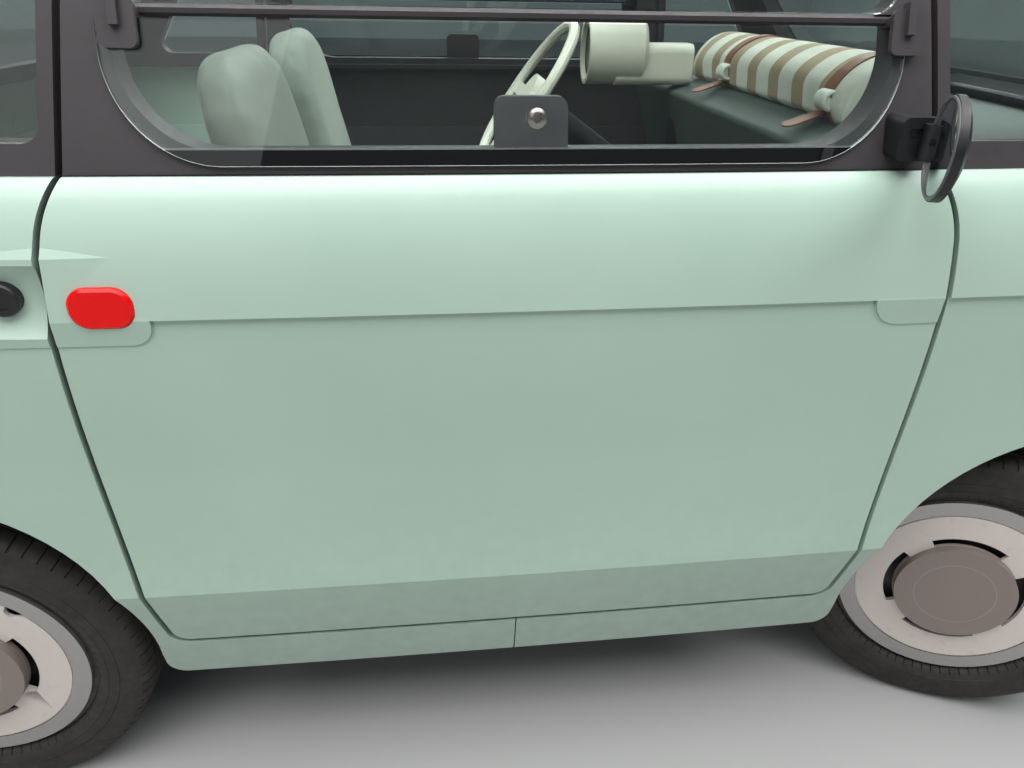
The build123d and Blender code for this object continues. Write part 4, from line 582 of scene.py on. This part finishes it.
def swell(piece, voxel, pressure, cap):
    """Remesh a pad, blow it up as cloth, hold each point within the cap, and smooth the result."""
    deselect()
    piece.select_set(True)
    bpy.context.view_layer.objects.active = piece
    remesh = piece.modifiers.new("remesh", "REMESH")
    remesh.mode, remesh.voxel_size = "VOXEL", voxel
    bpy.ops.object.modifier_apply(modifier="remesh")
    rest = [vertex.co.copy() for vertex in piece.data.vertices]
    cloth = piece.modifiers.new("swell", "CLOTH")
    cloth.settings.use_pressure = True
    cloth.settings.uniform_pressure_force = pressure
    cloth.settings.effector_weights.gravity = 0
    cloth.settings.quality = CLOTH_QUALITY
    cloth.point_cache.frame_start, cloth.point_cache.frame_end = 1, LAST_CLOTH_FRAME
    for frame_number in range(1, LAST_CLOTH_FRAME + 1):
        bpy.context.scene.frame_set(frame_number)
    bpy.ops.object.modifier_apply(modifier="swell")
    bpy.context.scene.frame_set(1)
    for vertex, start in zip(piece.data.vertices, rest):
        move = vertex.co - start
        if move.length > cap:
            vertex.co = start + move.normalized() * cap
    smooth = piece.modifiers.new("smooth", "SMOOTH")
    smooth.factor, smooth.iterations = SMOOTHING, SMOOTHING_ROUNDS
    bpy.ops.object.modifier_apply(modifier="smooth")
    divide = piece.modifiers.new("divide", "SUBSURF")
    divide.levels = divide.render_levels = 1
    bpy.ops.object.modifier_apply(modifier="divide")


seat_cover, tree, shader = plain_shader("seat_cover", SHADED_CREAM, 0.6)
vary_color(tree, shader, add_noise(tree, 7, 4), SHADED_CREAM_DEEP, SHADED_CREAM)
shader.inputs["Sheen Weight"].default_value = 0.15
add_bump(tree, shader, add_noise(tree, 520, 4), 0.22, 0.0006)
seat_pads = copy_node("seats", "seat_pads")
swell(seat_pads, SEAT_VOXEL, SEAT_PRESSURE, PAD_CAP)
finish_piece("seat_pads", "body", seat_cover, smooth_angle=60)
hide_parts("seats")

# Roll bag. Cotton canvas in cream and tan stripes, woven plain, sewn to a tube with round ends and
# lightly stuffed. It lies on the dashboard, held by its straps, with painted shade of creases in
# random patches.
STRIPE_PITCH = 0.098
STRIPE_START = 0.512
STRIPE_CREAM = (0.72, 0.73, 0.62, 1)
STRIPE_TAN = (0.34, 0.25, 0.13, 1)
# Edges of the tan stripe, as shares of the pitch
TAN_STARTS = (0.545, 0.555)
TAN_ENDS = (0.995, 0.985)
BAG_SHADE = (0.82, 0.82, 0.82, 1)
THREADS_PER_METRE = 900
BAG_VOXEL = 0.005
BAG_PRESSURE = 3
BAG_CAP = 0.010
BAG_SHORTER = 0.89


def weave(tree):
    """Plain weave on the Object coordinates: threads across and along."""
    thread = math.pi / THREADS_PER_METRE
    across = prism_rows(tree, (1, 0, 1), thread)
    along = prism_rows(tree, (0, 1, 0), thread)
    return multiplied(tree, across, along)


bag_cotton, tree, shader = plain_shader("bag_cotton", STRIPE_CREAM, 0.85)
shader.inputs["Sheen Weight"].default_value = 0.3
place = tree.nodes.new("ShaderNodeTexCoord")
split = tree.nodes.new("ShaderNodeSeparateXYZ")
tree.links.new(place.outputs["Object"], split.inputs["Vector"])
count = tree.nodes.new("ShaderNodeMath")
count.operation = "MULTIPLY_ADD"
count.inputs[1].default_value = 1 / STRIPE_PITCH
count.inputs[2].default_value = STRIPE_START / STRIPE_PITCH
tree.links.new(split.outputs["Y"], count.inputs[0])
share = tree.nodes.new("ShaderNodeMath")
share.operation = "FRACT"
tree.links.new(count.outputs[0], share.inputs[0])
past_start = spread(tree, share.outputs[0], *TAN_STARTS)
before_end = spread(tree, share.outputs[0], *TAN_ENDS)
striped = mix_colors(tree, multiplied(tree, past_start, before_end), STRIPE_CREAM, STRIPE_TAN)
# Painted shade of creases: random patches darken the stripes through BAG_SHADE
painted_crease_shade = spread(tree, add_noise(tree, 45, 5), 0.3, 0.8)
darker = mix_colors(tree, painted_crease_shade, (1, 1, 1, 1), BAG_SHADE)
shaded = tree.nodes.new("ShaderNodeMix")
shaded.data_type, shaded.blend_type = "RGBA", "MULTIPLY"
shaded.inputs[MIX_FACTOR].default_value = 1
tree.links.new(striped, shaded.inputs[MIX_LOW])
tree.links.new(darker, shaded.inputs[MIX_HIGH])
tree.links.new(shaded.outputs[MIX_RESULT], shader.inputs["Base Color"])
add_bump(tree, shader, weave(tree), 0.3, 0.0005)
bag_low, bag_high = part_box("dash_bag")
roll_bag = copy_node("dash_bag", "roll_bag")
bpy.ops.transform.resize(value=(1, BAG_SHORTER, 1), center_override=(0, bag_high.y, 0))
bpy.ops.object.transform_apply(location=True, rotation=True, scale=True)
swell(roll_bag, BAG_VOXEL, BAG_PRESSURE, BAG_CAP)
finish_piece("roll_bag", "body", bag_cotton, smooth_angle=60)
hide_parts("dash_bag")

# Bag straps. Two bands of brown leather go over the bag, and each is held at its foot by a turned
# ivory peg, under which the strap's tongue comes out.
STRAP_PLACES = (0.085, -0.350)
STRAP_HALF = 0.014
STRAP_THICK = 0.0026
LEATHER_DEEP = (0.17, 0.062, 0.032, 1)
LEATHER_MEAN = (0.22, 0.085, 0.045, 1)
LEATHER_PALE = (0.27, 0.11, 0.06, 1)
PEG_DEEP = (0.68, 0.70, 0.62, 1)
PEG_MEAN = (0.72, 0.74, 0.66, 1)
PEG_PALE = (0.76, 0.78, 0.71, 1)
PEG_R = 0.0165
PEG_LENGTH = 0.030
PEG_IN = 0.004
PEG_UP = 0.030
PEG_BEVEL = 0.0012
# Columns: step in from the peg's edge, rise
PEG_ENDS = ((0.004, 0.003), (0.003, -0.004))
TONGUE_LONGER = 0.050
TONGUE_TIP_X = 0.002
TONGUE_BEVEL = 0.0006
TONGUE_TILT = math.radians(-16)
TONGUE_YAW = math.radians(12)
TONGUE_BACK = 0.048
TONGUE_ASIDE = 0.004
TONGUE_DOWN = 0.006
leather, tree, shader = plain_shader("leather", LEATHER_MEAN, 0.45)
vary_color(tree, shader, add_noise(tree, 60, 6), LEATHER_DEEP, LEATHER_PALE)
add_bump(tree, shader, add_noise(tree, 650, 5), 0.4, 0.0005)
peg_ivory, tree, shader = plain_shader("peg_ivory", PEG_MEAN, 0.3)
vary_color(tree, shader, add_noise(tree, 90), PEG_DEEP, PEG_PALE)
for number, strap_y in enumerate(STRAP_PLACES, start=1):
    # The strap is a band cut from the bag's own skin and given its thickness
    strap = copy_piece(roll_bag, "strap")
    bpy.ops.object.mode_set(mode="EDIT")
    for edge_y, normal_y in ((strap_y - STRAP_HALF, -1), (strap_y + STRAP_HALF, 1)):
        bpy.ops.mesh.select_all(action="SELECT")
        bpy.ops.mesh.bisect(plane_co=(0, edge_y, 0), plane_no=(0, normal_y, 0), clear_outer=True)
    bpy.ops.object.mode_set(mode="OBJECT")
    wall = strap.modifiers.new("wall", "SOLIDIFY")
    wall.thickness, wall.offset = STRAP_THICK, 1
    bpy.ops.object.modifier_apply(modifier="wall")
    finish_piece(f"bag_strap_{number}", "body", leather, smooth_angle=35)
    # The peg lies across the strap, at the foot of the bag's rear side
    peg_place = (bag_low.x + PEG_IN, strap_y, bag_low.z + PEG_UP)
    deselect()
    bpy.ops.mesh.primitive_cylinder_add(
        vertices=40, radius=PEG_R, depth=PEG_LENGTH, location=peg_place,
        rotation=(math.pi / 2, 0, 0),
    )
    pick_faces(lambda face: len(face.vertices) > 4)
    for step_in, rise in PEG_ENDS:
        bpy.ops.mesh.inset(thickness=step_in, depth=rise)
    bpy.ops.mesh.select_all(action="SELECT")
    bpy.ops.mesh.bevel(offset=PEG_BEVEL, segments=2)
    finish_piece(f"bag_peg_{number}", "body", peg_ivory, smooth_angle=35)
    # The tongue comes out under the peg and lies back over the dashboard
    deselect()
    bpy.ops.mesh.primitive_cylinder_add(vertices=32, radius=STRAP_HALF, depth=STRAP_THICK)
    pick_faces(lambda face: abs(face.normal.z) < END_FACING and face.center.x > TONGUE_TIP_X)
    bpy.ops.transform.translate(value=(TONGUE_LONGER, 0, 0))
    bpy.ops.mesh.select_all(action="SELECT")
    bpy.ops.mesh.bevel(offset=TONGUE_BEVEL, segments=1)
    bpy.ops.object.mode_set(mode="OBJECT")
    tongue = bpy.context.object
    tongue.rotation_euler = (0, TONGUE_TILT, TONGUE_YAW)
    tongue.location = (bag_low.x - TONGUE_BACK, strap_y + TONGUE_ASIDE, bag_low.z - TONGUE_DOWN)
    finish_piece(f"bag_tongue_{number}", "body", leather, smooth_angle=35)

# Lamps. Domed clear lenses with fine moulded ribs over a bright reflector at the front, and red
# moulded ones at the rear. Each sits in a recess of its panel. The ribs and the rear lenses' prisms
# are drawn in the bump and as painted shade and highlights in the colour.
RIB_PITCH = 0.006
BAND_PITCH = 0.018
LENS_RIB_SHADE = (0.62, 0.65, 0.66, 1)
LENS_MEAN = (0.78, 0.80, 0.80, 1)
LENS_RIB_HIGHLIGHT = (0.90, 0.92, 0.92, 1)
head_lens, tree, shader = plain_shader("head_lens", LENS_MEAN, 0.06, 0.2)
ribs = multiplied(
    tree, prism_rows(tree, (0, 1, 0), RIB_PITCH), prism_rows(tree, (0, 0, 1), BAND_PITCH)
)
# Painted shade and highlights: the ribs darken and lighten the lens in bands
vary_color(tree, shader, ribs, LENS_RIB_SHADE, LENS_RIB_HIGHLIGHT)
shader.inputs["Coat Weight"].default_value = 1
add_bump(tree, shader, ribs, 0.1, 0.0006)
finish(("headlamps",), head_lens)
# The tail lenses get the same painted prism glints as the reflectors
tail_lens = lens_material("tail_lens", (0.42, 0.004, 0.006, 1), (0.80, 0.02, 0.02, 1))
finish(("tail_lamps",), tail_lens)

# Tyres. Brown-black rubber, moulded with four grooves round the tread, sipes cut across the
# shoulders and a ribbed sidewall. The bead holds each one on its rim.
TYRE_STEPS = 480
SIPE_EVERY = 6
SIPE_DEPTH = 0.0022
SIPE_LIP = 0.0012
GROOVE_FLOOR = 0.2718
SHOULDER_IN_Y = 0.0440
SHOULDER_OUT_Y = 0.0716
# Columns: distance from the wheel's middle plane, radius
HALF_SECTION = [
    (0.0034, 0.2784), (0.0100, 0.2784), (0.0108, GROOVE_FLOOR), (0.0162, GROOVE_FLOOR),
    (0.0170, 0.2783), (0.0360, 0.2779), (0.0368, GROOVE_FLOOR), (0.0425, GROOVE_FLOOR),
    (0.0433, 0.2774), (0.0560, 0.2757), (0.0660, 0.2722), (0.0718, 0.2660), (0.0752, 0.2570),
    (0.0768, 0.2450), (0.0774, 0.2340), (0.0765, 0.2332), (0.0774, 0.2324), (0.0772, 0.2180),
    (0.0762, 0.2172), (0.0768, 0.2164), (0.0740, 0.2065), (0.0690, 0.2000), (0.0640, 0.1975),
    (0.0622, 0.1972),
]
RUBBER_DARK = (0.020, 0.017, 0.016, 1)
RUBBER_SCUFFED = (0.038, 0.033, 0.030, 1)
rubber, tree, shader = plain_shader("rubber", (0.030, 0.026, 0.023, 1), 0.72)
scuffs = spread(tree, add_noise(tree, 28, 6), 0.4, 0.9)
vary_color(tree, shader, scuffs, RUBBER_DARK, RUBBER_SCUFFED)
vary_roughness(tree, shader, add_noise(tree, 90, 4), 0.62, 0.82)
add_bump(tree, shader, add_noise(tree, 1100), 0.2, 0.0003)
section = [(-y, r) for y, r in reversed(HALF_SECTION)] + HALF_SECTION
first_y, first_r = section[0]
deselect()
bpy.ops.mesh.primitive_circle_add(
    vertices=TYRE_STEPS, radius=first_r, rotation=(math.pi / 2, 0, 0)
)
bpy.ops.object.transform_apply(location=True, rotation=True, scale=True)
bpy.ops.object.mode_set(mode="EDIT")
bpy.ops.mesh.select_mode(type="EDGE")
bpy.ops.mesh.select_all(action="SELECT")
bpy.ops.transform.translate(value=(0, first_y, 0))
for (last_y, last_r), (y, r) in zip(section, section[1:]):
    bpy.ops.mesh.extrude_region_move(TRANSFORM_OT_translate={"value": (0, y - last_y, 0)})
    bpy.ops.transform.resize(value=(r / last_r, 1, r / last_r), center_override=(0, 0, 0))


def is_sipe(face):
    """Every sixth strip of the two shoulders is cut as a sipe."""
    if not SHOULDER_IN_Y < abs(face.center.y) < SHOULDER_OUT_Y:
        return False
    step = math.atan2(face.center.z, face.center.x) / (2 * math.pi) * TYRE_STEPS
    return int(step + TYRE_STEPS) % SIPE_EVERY == 0


bpy.ops.mesh.select_all(action="SELECT")
bpy.ops.mesh.normals_make_consistent(inside=False)
pick_faces(is_sipe)
bpy.ops.mesh.inset(thickness=SIPE_LIP, depth=-SIPE_DEPTH, use_even_offset=False)
bpy.ops.mesh.select_all(action="SELECT")
bpy.ops.mesh.normals_make_consistent(inside=False)
bpy.ops.object.mode_set(mode="OBJECT")
tyre_model = bpy.context.object
tyre_model.name = "tyre_model"

# Wheels. Pressed steel rims, bolted to the hubs, each under a moulded cover that clips into it: a
# champagne disc with four slots, a polished outer ring and a dark flat cap.
RING_IN_R = 0.163
CAP_R = 0.0975
CAP_RING_R = 0.066
CAP_RING_WIDTH = 0.003
EDGE_SOFT = 0.001
CHAMPAGNE_DEEP = (0.63, 0.565, 0.525, 1)
CHAMPAGNE_PALE = (0.70, 0.63, 0.58, 1)
RING_POLISHED = (0.40, 0.39, 0.38, 1)
CAP_DARK = (0.24, 0.195, 0.175, 1)
CAP_RING = (0.30, 0.25, 0.23, 1)
COVER_GRIME = (0.24, 0.215, 0.19, 1)
RIM_BLACK = (0.018, 0.018, 0.018, 1)
BRAKE_DUST = (0.06, 0.052, 0.045, 1)
rim_steel, tree, shader = plain_shader("rim_steel", (0.022, 0.022, 0.022, 1), 0.45)
vary_color(tree, shader, spread(tree, add_noise(tree, 35, 5), 0.45, 0.8), RIM_BLACK, BRAKE_DUST)


def cover_material(corner, hub, turn):
    """Cover finish with its rings drawn by the distance from that wheel's axle."""
    material, tree, shader = plain_shader(f"cover_{corner}", (0.50, 0.47, 0.43, 1), 0.32)
    place = tree.nodes.new("ShaderNodeTexCoord")
    from_hub = tree.nodes.new("ShaderNodeVectorMath")
    from_hub.operation = "SUBTRACT"
    from_hub.inputs[1].default_value = hub
    tree.links.new(place.outputs["Object"], from_hub.inputs[0])
    straight = tree.nodes.new("ShaderNodeMapping")
    straight.inputs["Rotation"].default_value = (0, 0, -turn)
    tree.links.new(from_hub.outputs["Vector"], straight.inputs["Vector"])
    flat = tree.nodes.new("ShaderNodeVectorMath")
    flat.operation = "MULTIPLY"
    flat.inputs[1].default_value = (1, 0, 1)
    tree.links.new(straight.outputs["Vector"], flat.inputs[0])
    length = tree.nodes.new("ShaderNodeVectorMath")
    length.operation = "LENGTH"
    tree.links.new(flat.outputs["Vector"], length.inputs[0])
    reach = length.outputs["Value"]

    champagne = mix_colors(tree, add_noise(tree, 9, 4), CHAMPAGNE_DEEP, CHAMPAGNE_PALE)
    on_ring = spread(tree, reach, RING_IN_R - EDGE_SOFT, RING_IN_R)
    ringed = mix_colors(tree, on_ring, champagne, RING_POLISHED)
    cap_ring_in_r = CAP_RING_R - CAP_RING_WIDTH
    on_cap_ring = multiplied(
        tree,
        spread(tree, reach, cap_ring_in_r, cap_ring_in_r + EDGE_SOFT),
        spread(tree, reach, CAP_RING_R, CAP_RING_R - EDGE_SOFT),
    )
    cap = mix_colors(tree, on_cap_ring, CAP_DARK, CAP_RING)
    off_cap = spread(tree, reach, CAP_R, CAP_R + EDGE_SOFT)
    capped = mix_colors(tree, off_cap, cap, ringed)
    grime = spread(tree, add_noise(tree, 55, 6), 0.6, 1.4)
    vary_color(tree, shader, grime, capped, COVER_GRIME)
    vary_roughness(tree, shader, reach, 0.38, 0.2, RING_IN_R - EDGE_SOFT, RING_IN_R)
    shine = spread(tree, reach, RING_IN_R - EDGE_SOFT, RING_IN_R, 0.1, 0.75)
    tree.links.new(shine, shader.inputs["Metallic"])
    return material


# The cutter of the slots, which go through the disc beside the cap, one in each quarter
SLOT_IN_R = 0.0978
SLOT_OUT_R = 0.113
SLOT_ARC = math.radians(64)
SLOT_STEPS = 24
CUTTER_LENGTH = 0.3
CUTTER_MERGE_WITHIN = 0.00001
deselect()
bpy.ops.mesh.primitive_plane_add(size=1)
bpy.ops.transform.resize(value=(SLOT_OUT_R - SLOT_IN_R, CUTTER_LENGTH, 1))
bpy.ops.transform.translate(value=((SLOT_IN_R + SLOT_OUT_R) / 2, 0, 0))
bpy.ops.object.transform_apply(location=True, rotation=True, scale=True)
bpy.ops.object.mode_set(mode="EDIT")
bpy.ops.mesh.select_all(action="SELECT")
bpy.ops.mesh.spin(steps=SLOT_STEPS, angle=SLOT_ARC, center=(0, 0, 0), axis=(0, 1, 0))
bpy.ops.mesh.select_all(action="SELECT")
bpy.ops.mesh.remove_doubles(threshold=CUTTER_MERGE_WITHIN)
bpy.ops.mesh.normals_make_consistent(inside=False)
bpy.ops.object.mode_set(mode="OBJECT")
cutter = bpy.context.object
middle = sum((vertex.co for vertex in cutter.data.vertices), Vector())
slot_angle = math.atan2(middle.z, middle.x)

STEERED = math.radians(-25)
# Columns: corner, hub centre, steering turn as parked
WHEELS = (
    ("fr", (0.829134, -0.57477, 0.2785), STEERED),
    ("fl", (0.898866, 0.57477, 0.2785), STEERED),
    ("rr", (-0.864, -0.5825, 0.2785), 0),
    ("rl", (-0.864, 0.5825, 0.2785), 0),
)
for corner, hub, turn in WHEELS:
    finish((f"rim_{corner}",), rim_steel)
    cover = copy_node(f"cover_{corner}", "cover")
    cutter.location = hub
    for quarter in range(4):
        cutter.rotation_euler = (0, slot_angle - quarter * math.pi / 2, turn)
        cut = cover.modifiers.new("cut", "BOOLEAN")
        cut.object, cut.operation, cut.solver = cutter, "DIFFERENCE", "EXACT"
        bpy.ops.object.modifier_apply(modifier="cut")
    cover_finish = cover_material(corner, hub, turn)
    finish_piece(
        f"cover_disc_{corner}", f"wheel_{corner}", cover_finish, smooth_angle=30
    )
    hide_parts(f"cover_{corner}")
    tyre = copy_piece(tyre_model, "tyre")
    tyre.location = hub
    tyre.rotation_euler = (0, 0, turn)
    finish_piece(f"tread_{corner}", f"wheel_{corner}", rubber, smooth_angle=32)
    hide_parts(f"tyre_{corner}")
bpy.data.objects.remove(tyre_model)
bpy.data.objects.remove(cutter)
